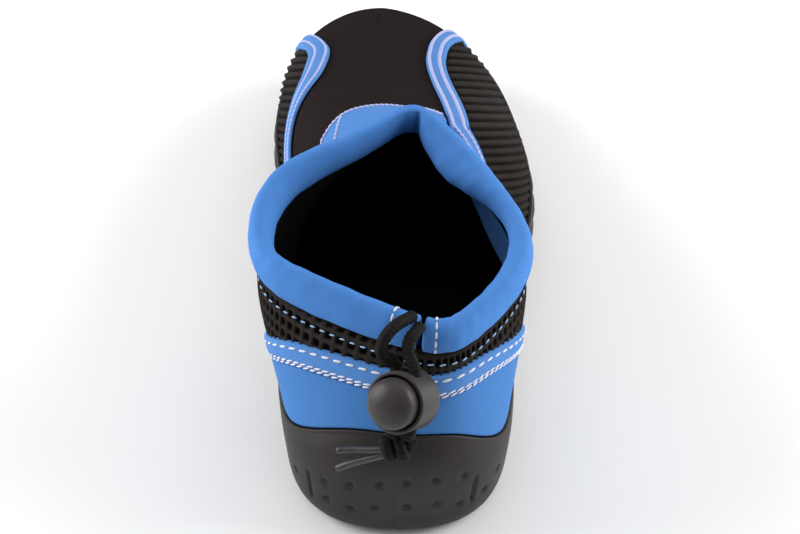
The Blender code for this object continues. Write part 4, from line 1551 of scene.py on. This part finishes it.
@dataclass
class Collar:
    """Blue tube round the opening with its facing and hems, in mm.

    The lip is the way at which the facing hangs lowest, and how far it spreads. The row is that of the
    stitches under the tube.
    """

    last: Last
    thickness: float = 8.0
    wall: float = 2.0
    gap_deg: Span = (0.5, 2.8)
    columns: int = 420
    sides: int = 48
    pucker_deg: float = 179.0
    pucker_width: float = 3.0
    pucker_depth: float = 0.6
    hem_deg: Span = (7.0, 12.5)
    hem_width: float = 0.7
    hem_depth: float = 0.25
    cloth_length: float = 300.0
    cloth_round: float = 36.0
    facing: float = 9.0
    facing_start: float = 0.14
    facing_end: float = 0.97
    facing_edge: float = 0.5
    facing_drop: float = 0.75
    least_height: float = 20.0
    facing_length: float = 280.0
    facing_lean: float = 3.5
    facing_thickness: float = 0.6
    lip: Span = (0.30, 0.10)
    row_end: float = 0.33
    row_rise: float = 0.945
    row_lift: float = 1.0

    def frames(self, angles: Array) -> tuple[Array, Array, Array]:
        """Sections of the tube.

        Args:
            angles: Angles round the opening, in degrees.

        Returns:
            Middles, vectors of half the height upwards, and unit vectors outwards.
        """
        last = self.last
        row = last.collar(angles)
        along = unit(last.collar(angles + 0.5)[:, :3] - last.collar(angles - 0.5)[:, :3])
        level = unit(np.stack([along[:, 1], -along[:, 0], np.zeros(len(angles))], -1))
        lean = np.radians(row[:, 3:4])
        up = UP * np.cos(lean) - level * np.sin(lean)
        up = unit(up - along * (up * along).sum(1, keepdims=True))
        tall = row[:, 4:5]
        return row[:, :3] + up * (tall / 2 + last.gap), up * tall / 2, np.cross(along, up)

    def surface(self, angles: Array, turns: Array, scale: Array | float = 1.0) -> Array:
        """Points on the tube.

        Args:
            angles: Angles round the opening, in degrees.
            turns: Angles round the tube, in radians, from its outer side over its top.
            scale: Share of its size.

        Returns:
            Points in mm.
        """
        centre, up, out = self.frames(angles)
        inside = smooth_step(-2 * np.cos(turns))
        pinch = 1 - self.pucker_depth * inside * hump(angles, self.pucker_deg, self.pucker_width)
        half = self.thickness / 2 + self.last.collar(angles)[:, 5] * inside
        around = np.radians(angles)
        waves = sum(high * np.sin(around * count + twist * turns) for high, count, twist in WAVES)
        size = np.asarray(scale) * (1 + waves)
        across = half * np.cos(turns) * pinch * size - self.wall / 2
        points = centre + out * across[:, None] + up * (np.sin(turns) * size)[:, None]
        hem = sum(hump(angles, at, self.hem_width) for at in (self.hem_deg[0], 360 - self.hem_deg[1]))
        return points - out * (self.hem_depth * hem * np.cos(turns))[:, None]

    def build(self) -> None:
        """Makes the tube, the hem stitches, the facing and the row of stitches under the tube."""
        first, final = self.gap_deg[0], 360 - self.gap_deg[1]
        body = np.linspace(first, final, self.columns)
        inwards, sizes = np.array(TUBE_END).T
        angles = np.concatenate([first + inwards, body[1:-1], final - inwards[::-1]])
        scales = np.concatenate([sizes, np.ones(len(body) - 2), sizes[::-1]])
        count = len(angles) - 1

        def place(u: Array, v: Array) -> Array:
            """Points of the tube."""
            i = column_of(u, count)
            return self.surface(angles[i], 2 * np.pi * v, scales[i])

        def flat(u: Array, v: Array) -> Array:
            """Flat places of the cloth."""
            return np.column_stack([u * self.cloth_length, v * self.cloth_round])

        bm = close_mesh(shaped_grid(count, self.sides, place, flat))
        tube = add_piece("collar_tube", bm, [BLUE_STRETCH], ["collar"])
        self.build_hems()
        self.build_facing()
        self.build_row()

    def build_hems(self) -> None:
        """Sews the hem at each end of the tube."""
        bm = bmesh.new()
        thread = Stitching(pitch=2.9, length=2.6, width=0.9)
        turns = np.radians(np.linspace(-60, 130, 40))
        for angle in (self.hem_deg[0], 360 - self.hem_deg[1]):
            angles = np.full(len(turns), angle)
            path = self.surface(angles, turns)
            thread.sew(bm, path, unit(path - self.frames(angles)[0]))
        add_piece("collar_hem_stitches", bm, [WHITE_THREAD])

    def build_facing(self) -> None:
        """Makes the strip of blue cloth inside the opening under the tube, coloured dark blue as painted
        shade.
        """
        last = self.last
        start, end = self.facing_start, last.throat_way * self.facing_end

        def place(u: Array, v: Array) -> Array:
            """Points of the strip on the inside of the upper."""
            way = start + (end - start) * u
            lip = hump(way, *self.lip)
            drop = self.facing_drop * ((self.facing_edge + self.facing * lip) * v)
            height = last.top_line(way)[:, 2] - last.cup_floor(last.outline(way)[:, 1])
            rise = 1.0 - drop / np.maximum(height, self.least_height)
            return last.off(way, rise, -(self.wall + self.facing_edge + self.facing_lean * lip * v))

        def flat(u: Array, v: Array) -> Array:
            """Flat places of the strip."""
            return np.column_stack([u * self.facing_length, v * self.facing])

        bm = shaped_grid(220, 8, place, flat)
        add_sheet("collar_facing", bm, FACING_PAINTED_SHADE, self.facing_thickness)

    def build_row(self) -> None:
        """Sews the row of stitches on the mesh under the tube."""
        last = self.last
        bm = bmesh.new()
        ways = np.mod(np.linspace(-self.row_end, self.row_end, 160), 2.0)
        rises = np.full(len(ways), self.row_rise)
        path = last.off(ways, rises, self.row_lift)
        Stitching(pitch=3.7, length=2.2, width=0.65, slant=0.15).sew(bm, path, last.normal(ways, rises))
        add_piece("collar_seam_stitches", bm, [PALE_BLUE_THREAD])


@dataclass
class HeelPanel:
    """Blue twill heel panel with its folded tape, in mm. The spans are the ways of their two ends."""

    last: Last
    seat: float = 0.6
    base: float = 0.5
    panel: float = 1.0
    panel_span: Span = (-0.305, 0.315)
    tape: float = 1.3
    tape_span: Span = (-0.315, 0.325)
    tape_width: float = 8.0
    tape_puff: float = 0.22
    tape_above_rim: float = 0.6
    panel_above_rim: float = 0.15
    overlap: float = 0.6
    tape_edge: float = 0.16
    panel_edge: float = 0.03
    end_fade: float = 0.015
    end_height: float = 0.4
    thickness: float = 0.5
    columns: int = 260
    stitch_span: Span = (-0.30, 0.31)
    rows_down: tuple[float, float, float] = (1.9, 6.2, 7.1)

    def tape_edges(self, ways: Array) -> tuple[Array, Array]:
        """Edges of the tape.

        Args:
            ways: Ways from the heel, below 0 on the inner side.

        Returns:
            Heights of its lower and its upper edge.
        """
        top = self.last.tape(ways)[:, 0]
        rim = self.last.rim(np.mod(ways, 2.0))[:, 0]
        return np.maximum(top - self.tape_width, rim + self.tape_above_rim), top

    def build(self) -> None:
        """Makes the panel, the tape and its stitches."""
        self.build_sheet("heel_panel", self.panel_span, False, BLUE_TWILL, "heel_counter")
        self.build_sheet("heel_tape", self.tape_span, True, BLUE_TAPE, "counter_tape")
        self.build_stitches()

    def build_sheet(self, name: str, span: Span, is_tape: bool, finish: Finish, node: str) -> None:
        """Makes the panel or the tape on it.

        Args:
            name: Name of the piece.
            span: Ways of its two ends.
            is_tape: True for the tape.
            finish: Its material.
            node: CAD node that it replaces.
        """
        last = self.last
        ways = np.linspace(*span, self.columns)
        at = np.mod(ways, 2.0)
        low, high = self.tape_edges(ways)
        if not is_tape:
            low, high = last.rim(at)[:, 0] + self.panel_above_rim, low + self.overlap
        rises = last.rise_at(at, low), last.rise_at(at, high)
        climbs = last.climb(at, rises[0]), last.climb(at, rises[1])
        top = self.seat + (self.tape if is_tape else self.panel)
        count = len(ways) - 1

        def place(u: Array, v: Array) -> Array:
            """Points of the sheet's outside, thinner at its edges."""
            i = column_of(u, count)
            edge = smooth_step(np.minimum(v, 1 - v) / (self.tape_edge if is_tape else self.panel_edge))
            ends = smooth_step(np.minimum(u, 1 - u) / self.end_fade)
            ends = self.end_height + (1 - self.end_height) * ends
            puff = self.tape_puff * np.sin(np.pi * v) if is_tape else 0.0
            offset = self.base + (top - self.base + puff) * edge * ends
            return last.off(at[i], rises[0][i] * (1 - v) + rises[1][i] * v, offset)

        def flat(u: Array, v: Array) -> Array:
            """Flat places of the cloth."""
            i = column_of(u, count)
            up = climbs[0][i] + (climbs[1] - climbs[0])[i] * v
            return np.column_stack([(ways[i] + 0.4) * last.half_round, up])

        rows, slot = (12, "blue_tape") if is_tape else (44, "blue_twill")
        add_sheet(name, shaped_grid(count, rows, place, flat), finish, self.thickness, [node])

    def build_stitches(self) -> None:
        """Sews one row near the tape's upper edge and two near its lower edge."""
        last = self.last
        bm = bmesh.new()
        ways = np.linspace(*self.stitch_span, 240)
        at = np.mod(ways, 2.0)
        low, high = self.tape_edges(ways)
        threads = (
            Stitching(pitch=4.5, length=3.4, width=0.85, slant=0.1),
            Stitching(pitch=3.0, length=3.0, width=0.65, slant=0.2),
            Stitching(pitch=2.8, length=2.8, width=0.65, slant=0.2),
        )
        for down, thread in zip(self.rows_down, threads):
            rises = last.rise_at(at, high - (high - low) * down / self.tape_width)
            path = last.off(at, rises, self.seat + self.tape + 0.1)
            thread.sew(bm, path, last.normal(at, rises))
        add_piece("heel_tape_stitches", bm, [WHITE_THREAD])


@dataclass
class SideBand:
    """Blue tape that runs from above the sole at the toe back towards the collar, in mm."""

    last: Last
    name: str
    node: str
    table: list[Place]
    seat: float = 0.6
    base: float = 0.45
    thickness: float = 1.0
    sheet: float = 0.4
    width: float = 7.6
    cloth_length: float = 210.0
    columns: int = 240
    rows: int = 16
    edge: float = 0.1
    seams: Span = (-0.36, 0.12)
    seam_width: float = 0.06
    seam_depth: float = 0.3
    thread_widths: Span = (1.4, 1.75)
    thread_sinks: float = 0.15
    bar_tack: float = 0.985
    tack_reach: float = 0.42

    def places(self, shares: Array, across: Array) -> tuple[Array, Array]:
        """Way and rise of places on the band.

        Args:
            shares: Shares of its length from the toe.
            across: Shares of its width from its middle, above 0 towards the sole.

        Returns:
            Ways and rises.
        """
        last = self.last
        middle = Spline(np.linspace(0, 1, len(self.table)), self.table)
        way, rise = middle(shares).T
        ahead = last.point(*middle(np.minimum(shares + 0.01, 1.0)).T)
        behind = last.point(*middle(np.maximum(shares - 0.01, 0.0)).T)
        side = unit(np.cross(last.normal(way, rise), ahead - behind))
        side = side * (-1.0 if way.mean() > 1 else 1.0)
        return last.beside(way, rise, side * (across * self.width)[:, None])

    def build(self) -> None:
        """Makes the band, its two rows of stitches and the bar of stitches across its rear end."""
        last = self.last

        def place(u: Array, v: Array) -> Array:
            """Points of the band's outside, drawn in along its seams."""
            across = v - 0.5
            edge = smooth_step(np.minimum(v, 1 - v) / self.edge)
            seam = sum(hump(across, at, self.seam_width) for at in self.seams)
            top = self.seat + self.thickness - self.seam_depth * seam
            return last.off(*self.places(u, across), self.base + (top - self.base) * edge)

        def flat(u: Array, v: Array) -> Array:
            """Flat places of the tape."""
            return np.column_stack([u * self.cloth_length, v * self.width])

        bm = shaped_grid(self.columns, self.rows, place, flat)
        add_sheet(self.name, bm, BLUE_TAPE, self.sheet, [self.node])
        bm = bmesh.new()
        shares = np.linspace(0.005, 0.995, 260)
        for seam, width in zip(self.seams, self.thread_widths):
            spots = self.places(shares, np.full(len(shares), seam))
            path = last.off(*spots, self.seat + self.thickness - self.thread_sinks)
            Stitching(pitch=1.9, length=2.4, width=width, lift=0.0).sew(bm, path, last.normal(*spots))
        across = np.linspace(-self.tack_reach, self.tack_reach, 40)
        spots = self.places(np.full(len(across), self.bar_tack), across)
        path = last.off(*spots, self.seat + self.thickness)
        Stitching(pitch=1.5, length=1.8, width=1.2, lift=0.0).sew(bm, path, last.normal(*spots))
        add_piece(f"{self.name}_stitches", bm, [LAVENDER_THREAD])


@dataclass
class Patch:
    """Blue patch in front of the collar, in mm."""

    last: Last
    seat: float = 0.6
    base: float = 0.3
    thickness: float = 1.0
    sheet: float = 0.4
    edges: Span = (0.035, 0.07)
    columns: int = 64
    rows: int = 30

    def build(self) -> None:
        """Makes the patch and its stitches."""
        last = self.last
        edges = Spline([r.out for r in PATCH], [(r.back, r.front) for r in PATCH])
        first, final = PATCH[0].out, PATCH[-1].out

        def spots(u: Array, v: Array) -> Array:
            """Places across and along the shoe."""
            out = first + (final - first) * u
            back, front = edges(out).T
            return np.column_stack([out, back + (front - back) * v])

        def place(u: Array, v: Array) -> Array:
            """Points of the patch's outside, thinner at its edges."""
            side, end = np.minimum(u, 1 - u) / self.edges[0], np.minimum(v, 1 - v) / self.edges[1]
            edge = smooth_step(np.minimum(side, end))
            height = self.seat + self.thickness - self.base
            return last.off(*last.on_vamp(spots(u, v)), self.base + height * edge)

        bm = shaped_grid(self.columns, self.rows, place, lambda u, v: spots(u, v) + CLOTH_SHIFT)
        add_sheet("tongue_cloth_patch", bm, BLUE_TAPE, self.sheet, ["tongue_patch"])
        bm = bmesh.new()
        turn = np.linspace(0, 1, 120)
        rim = np.column_stack([np.clip(turn * 1.4 - 0.4, 0.022, 0.97), np.clip(turn * 3.4, 0.05, 0.955)])
        inner = np.column_stack([0.11 + 0.05 * turn**2, turn * 0.93])
        for line, width in ((rim, 1.3), (inner, 1.2)):
            where = last.on_vamp(spots(*line.T))
            path = last.off(*where, self.seat + self.thickness)
            Stitching(pitch=1.9, length=2.3, width=width, lift=0.0).sew(bm, path, last.normal(*where))
        add_piece("tongue_patch_stitches", bm, [LAVENDER_THREAD])


@dataclass
class CordLock:
    """Push-button lock on the drawcord, in mm."""

    centre: Point = (2.1, -5.8, 61.2)
    button_way: Point = (-0.461, -0.757, 0.464)
    cord_way: Point = (0.05, 0.50, 0.865)
    barrel: float = 19.0
    length: float = 13.0
    shell: float = 1.1
    back: float = 1.3
    button: float = 15.6
    dome: float = 4.6
    proud: float = 2.2
    stem: float = 8.5
    slot_width: float = 10.4
    hole: float = 4.2
    cord_depth: float = 5.0
    back_round: Span = (2.2, 2.4)
    lip_round: float = 0.45
    bore_round: float = 0.3
    stem_bevel: float = 0.8
    dome_drop: float = 0.6
    slot_round: float = 1.0
    slot_ends: float = 1.5
    steps: int = 96
    sharp_deg: float = 35.0

    def matrix(self) -> Matrix:
        """Works out the lock's own place: X across the cords, Y along them, Z to the button.

        Returns:
            Matrix from that place to the shoe's, in mm.
        """
        cord = Vector(self.cord_way).normalized()
        button = Vector(self.button_way)
        button = (button - cord * button.dot(cord)).normalized()
        turn = Matrix((cord.cross(button), cord, button)).transposed().to_4x4()
        return Matrix.Translation(self.centre) @ turn

    def turned(self, profile: Sequence[tuple[float, float]]) -> BMesh:
        """Turns a solid about the lock's axis.

        Args:
            profile: Rows of radius and height.

        Returns:
            The solid, in the lock's own place.
        """
        bm = bmesh.new()
        verts = [bm.verts.new((radius, 0.0, height)) for radius, height in profile]
        edges = [bm.edges.new(pair) for pair in zip(verts, verts[1:])]
        bmesh.ops.spin(
            bm,
            geom=verts + edges,
            cent=(0, 0, 0),
            axis=(0, 0, 1),
            angle=2 * math.pi,
            steps=self.steps,
            use_merge=True,
        )
        bmesh.ops.remove_doubles(bm, verts=bm.verts, dist=0.001)
        bmesh.ops.recalc_face_normals(bm, faces=bm.faces)
        return bm

    def set_in_place(self, bm: BMesh) -> None:
        """Moves a mesh from the lock's own place, in mm, to the frame's."""
        move = Matrix.Scale(MM, 4) @ Matrix.Translation(Vector(SHIFT)) @ self.matrix()
        bmesh.ops.transform(bm, matrix=move, verts=bm.verts)

    def cut_slot(self, bm: BMesh, size: Sequence[float], height: float) -> BMesh:
        """Takes the cords' slot out of a solid.

        Args:
            bm: The solid, in the lock's own place.
            size: The slot's size across, along and up.
            height: Height of its middle.

        Returns:
            The cut solid.
        """
        box = bmesh.new()
        bmesh.ops.create_cube(box, size=1.0)
        bmesh.ops.scale(box, vec=size, verts=box.verts)
        long_edges = [e for e in box.edges if abs((e.verts[0].co - e.verts[1].co).normalized().y) > 0.9]
        bmesh.ops.bevel(
            box,
            geom=long_edges,
            offset=self.slot_round,
            affect="EDGES",
            segments=5,
            profile=0.5,
            material=-1,
        )
        bmesh.ops.translate(box, vec=(0, 0, height), verts=box.verts)
        made = []
        for name, part in (("lock_part", bm), ("lock_slot", box)):
            mesh = bpy.data.meshes.new(name)
            part.to_mesh(mesh)
            part.free()
            made.append(bpy.data.objects.new(name, mesh))
            bpy.context.scene.collection.objects.link(made[-1])
        cut = made[0].modifiers.new("slot", "BOOLEAN")
        cut.operation = "DIFFERENCE"
        cut.solver = "EXACT"
        cut.object = made[1]
        bpy.context.view_layer.update()
        graph = bpy.context.evaluated_depsgraph_get()
        result = bmesh.new()
        result.from_mesh(made[0].evaluated_get(graph).to_mesh())
        made[0].evaluated_get(graph).to_mesh_clear()
        for done in made:
            mesh = done.data
            bpy.data.objects.remove(done)
            bpy.data.meshes.remove(mesh)
        return result

    def build(self) -> None:
        """Makes the barrel and the button."""
        front, radius = self.length / 2, self.barrel / 2
        bore, floor = radius - self.shell, -front + self.back
        arc = [(math.sin(a), math.cos(a)) for a in np.radians(np.linspace(0, 90, 6))]
        wide, tall = self.back_round
        lip, inside = self.lip_round, self.bore_round
        barrel = self.turned(
            [(0.0, -front), (radius - wide, -front)]
            + [(radius - wide + wide * s, -front + tall - tall * c) for s, c in arc[1:]]
            + [(radius - lip + lip * c, front - lip + lip * s) for s, c in arc]
            + [(bore + inside - inside * s, front - inside + inside * c) for s, c in arc]
            + [(bore, floor), (0.0, floor)]
        )
        barrel = self.cut_slot(barrel, (self.slot_width, 2 * self.barrel, self.hole), front - self.cord_depth)
        self.set_in_place(barrel)
        self.finish_piece("cord_lock_barrel", barrel, "lock_barrel", "shoe")
        stem, rim = self.button / 2, front + self.proud
        bottom = front - self.stem
        turns = np.radians(np.linspace(88, 0, 14))
        dome = [(stem * math.sin(a), rim + self.dome * math.cos(a)) for a in turns]
        bevel = self.stem_bevel
        foot = [(0.0, bottom), (stem - bevel, bottom), (stem, bottom + bevel), (stem, rim - self.dome_drop)]
        button = self.turned(foot + dome)
        high = self.stem - self.slot_ends
        button = self.cut_slot(button, (self.slot_width, 2 * self.barrel, high), front - high / 2)
        self.set_in_place(button)
        self.finish_piece("cord_lock_button", button, "lock_button", "button")

    def finish_piece(self, name: str, bm: BMesh, node: str, body: str) -> None:
        """Makes an object of a lock piece, with its sharp edges kept.

        Args:
            name: Name of the piece.
            bm: Its mesh, in the frame's place.
            node: CAD node that it replaces.
            body: Body that it rides on.
        """
        piece = add_piece(name, bm, [PLASTIC], [node], body)
        piece.data.set_sharp_from_angle(angle=math.radians(self.sharp_deg))


@dataclass
class Drawcord:
    """The two strands that leave the collar, their knot and its sealed ends, in mm.

    The pass is where a strand's points lie along the lock, and the entry is where it goes into the knot, in
    the lock's own place.
    """

    lock: CordLock
    diameter: float = 3.8
    apart: float = 6.4
    tail: float = 2.3
    knot_centre: Point = (0.3, -11.4, 46.6)
    knot_width: float = 8.8
    knot_turns: float = 2.2
    knot_start: float = 0.6
    knot_radii: Span = (2.2, 2.1)
    lock_pass: tuple[float, ...] = (10.5, 6.0, 0.0, -6.0, -9.6)
    entry: Point = (-0.3, -11.0, 0.9)
    entry_aside: float = 2.6
    strand_sides: int = 32
    knot_sides: int = 28
    tail_sides: int = 20
    relief: float = 0.085
    lay: float = 11.0

    def strand(self, start: Sequence[Point], side: int) -> Array:
        """Middle line of a strand, from inside the collar through the lock to the knot.

        Args:
            start: Its points up to the lock.
            side: 1 for the outer strand, -1 for the inner one.

        Returns:
            Points of the line, in mm.
        """
        place = self.lock.matrix()
        depth = self.lock.length / 2 - self.lock.cord_depth
        through = [place @ Vector((side * self.apart / 2, along, depth)) for along in self.lock_pass]
        entry = Vector(self.entry) + Vector((side * self.entry_aside, 0.0, 0.0))
        knots = np.array([*start, *through, place @ entry])
        run = run_along(knots)
        return Spline(run, knots)(np.linspace(0, run[-1], 150))

    def build(self) -> None:
        """Makes the knot with its ends, and the two strands."""
        knot = self.build_knot()
        for node, start, side in (("cord_outer", OUTER_START, 1), ("cord_inner", INNER_START, -1)):
            path = self.strand(start, side)
            bm = bmesh.new()
            radii = cord_radii(len(path), self.diameter / 2)
            add_tube(bm, path, radii, self.strand_sides, self.relief, self.lay)
            piece = add_piece(f"draw{node}", bm, [CORD], [node])
            row = to_row(path)

    def build_knot(self) -> bpy.types.Object:
        """Makes the knot of both strands with its two sealed ends.

        Returns:
            The piece.
        """
        bm = bmesh.new()
        share = np.linspace(0, 1, 150)
        turn = 2 * np.pi * self.knot_turns * share + self.knot_start
        wide, tall = self.knot_radii
        coil = np.column_stack([(share - 0.5) * self.knot_width, wide * np.cos(turn), tall * np.sin(turn)])
        radii = cord_radii(len(share), self.diameter / 2)
        coil = coil + np.array(self.knot_centre)
        add_tube(bm, coil, radii, self.knot_sides, self.relief, self.lay)
        soft = len(bm.faces)
        for table in SEALED_ENDS:
            path = Spline(np.linspace(0, 1, len(table)), table)(np.linspace(0, 1, 40))
            radii = cord_radii(len(path), self.tail / 2)
            radii[-2] = self.tail / 2 * 0.9
            add_tube(bm, path, radii, self.tail_sides, 0.0, self.lay)
        bm.faces.ensure_lookup_table()
        for face in bm.faces[soft:]:
            face.material_index = 1
        nodes = ["cord_knot", "cord_tail_upper", "cord_tail_lower"]
        return add_piece("drawcord_knot", bm, [CORD, TIP], nodes)


@dataclass
class Studio:
    """Camera, floor and lights. The camera's place is in mm and degrees, the rest in metres."""

    target: Point = (0.0, 86.0, 40.0)
    distance: float = 750.0
    elevation: float = 38.0
    roll: float = 1.0
    lens: float = 99.9
    sensor: float = 36.0
    far: float = 20.0
    aim: Point = (0.0, 0.0, 0.05)
    room: Colour = (1.0, 1.0, 1.0)
    room_light: float = 0.29
    floor_size: float = 6.0
    floor_colour: Colour = (0.98, 0.98, 0.98)
    floor_roughness: float = 0.9

    def build(self) -> None:
        """Makes the camera, the floor and the lights."""
        scene = bpy.context.scene
        scene.view_settings.view_transform = "Standard"
        camera = bpy.data.objects.new("camera", bpy.data.cameras.new("camera"))
        camera.data.lens = self.lens
        camera.data.sensor_width = self.sensor
        camera.data.clip_end = self.far
        tilt, turn = math.radians(self.elevation), math.radians(self.roll)
        back = np.array([0.0, -math.cos(tilt), math.sin(tilt)])
        right = np.array([1.0, 0.0, 0.0])
        up = np.cross(back, right)
        across = right * math.cos(turn) + up * math.sin(turn)
        above = up * math.cos(turn) - right * math.sin(turn)
        place = Matrix(np.stack([across, above, back], 1).tolist()).to_4x4()
        place.translation = to_row(np.array(self.target) + back * self.distance)
        camera.matrix_world = place
        scene.collection.objects.link(camera)
        scene.camera = camera
        self.build_floor()
        for lamp in LAMPS:
            self.add_light(lamp)
        world = bpy.data.worlds.new("pale_room")
        world.use_nodes = True
        glow = world.node_tree.nodes["Background"]
        glow.inputs["Color"].default_value = (*self.room, 1.0)
        glow.inputs["Strength"].default_value = self.room_light
        scene.world = world

    def build_floor(self) -> None:
        """Makes the pale floor."""
        bm = bmesh.new()
        bmesh.ops.create_grid(bm, x_segments=1, y_segments=1, size=self.floor_size)
        mesh = bpy.data.meshes.new("floor")
        bm.to_mesh(mesh)
        bm.free()
        paper = bpy.data.materials.new("pale_paper")
        paper.use_nodes = True
        shader = paper.node_tree.nodes["Principled BSDF"]
        shader.inputs["Base Color"].default_value = (*self.floor_colour, 1.0)
        shader.inputs["Roughness"].default_value = self.floor_roughness
        mesh.materials.append(paper)
        floor = bpy.data.objects.new("floor", mesh)
        bpy.context.scene.collection.objects.link(floor)

    def add_light(self, lamp: Lamp) -> None:
        """Adds a square soft light that points at the shoe.

        Args:
            lamp: Its name, place, size and power.
        """
        area = bpy.data.lights.new(lamp.name, "AREA")
        area.size = lamp.size
        area.energy = lamp.power
        light = bpy.data.objects.new(lamp.name, area)
        way = Vector(self.aim) - Vector(lamp.place)
        light.rotation_euler = way.to_track_quat("-Z", "Y").to_euler()
        light.location = lamp.place
        bpy.context.scene.collection.objects.link(light)


def main() -> None:
    """Builds every piece of the shoe and the studio."""
    logging.basicConfig(level=logging.INFO, format="%(name)s %(message)s")
    weave_group()
    mottle_group()
    for finish in FINISHES:
        finish.material()
    last = Last()
    lock = CordLock()
    Studio().build()
    Drawcord(lock).build()
    lock.build()
    Outsole(last).build()
    Upper(last).build()
    Collar(last).build()
    HeelPanel(last).build()
    SideBand(last, "side_band_outer", "band_outer", BAND_OUTER).build()
    SideBand(last, "side_band_inner", "band_inner", BAND_INNER).build()
    Patch(last).build()


if __name__ == "__main__":
    main()
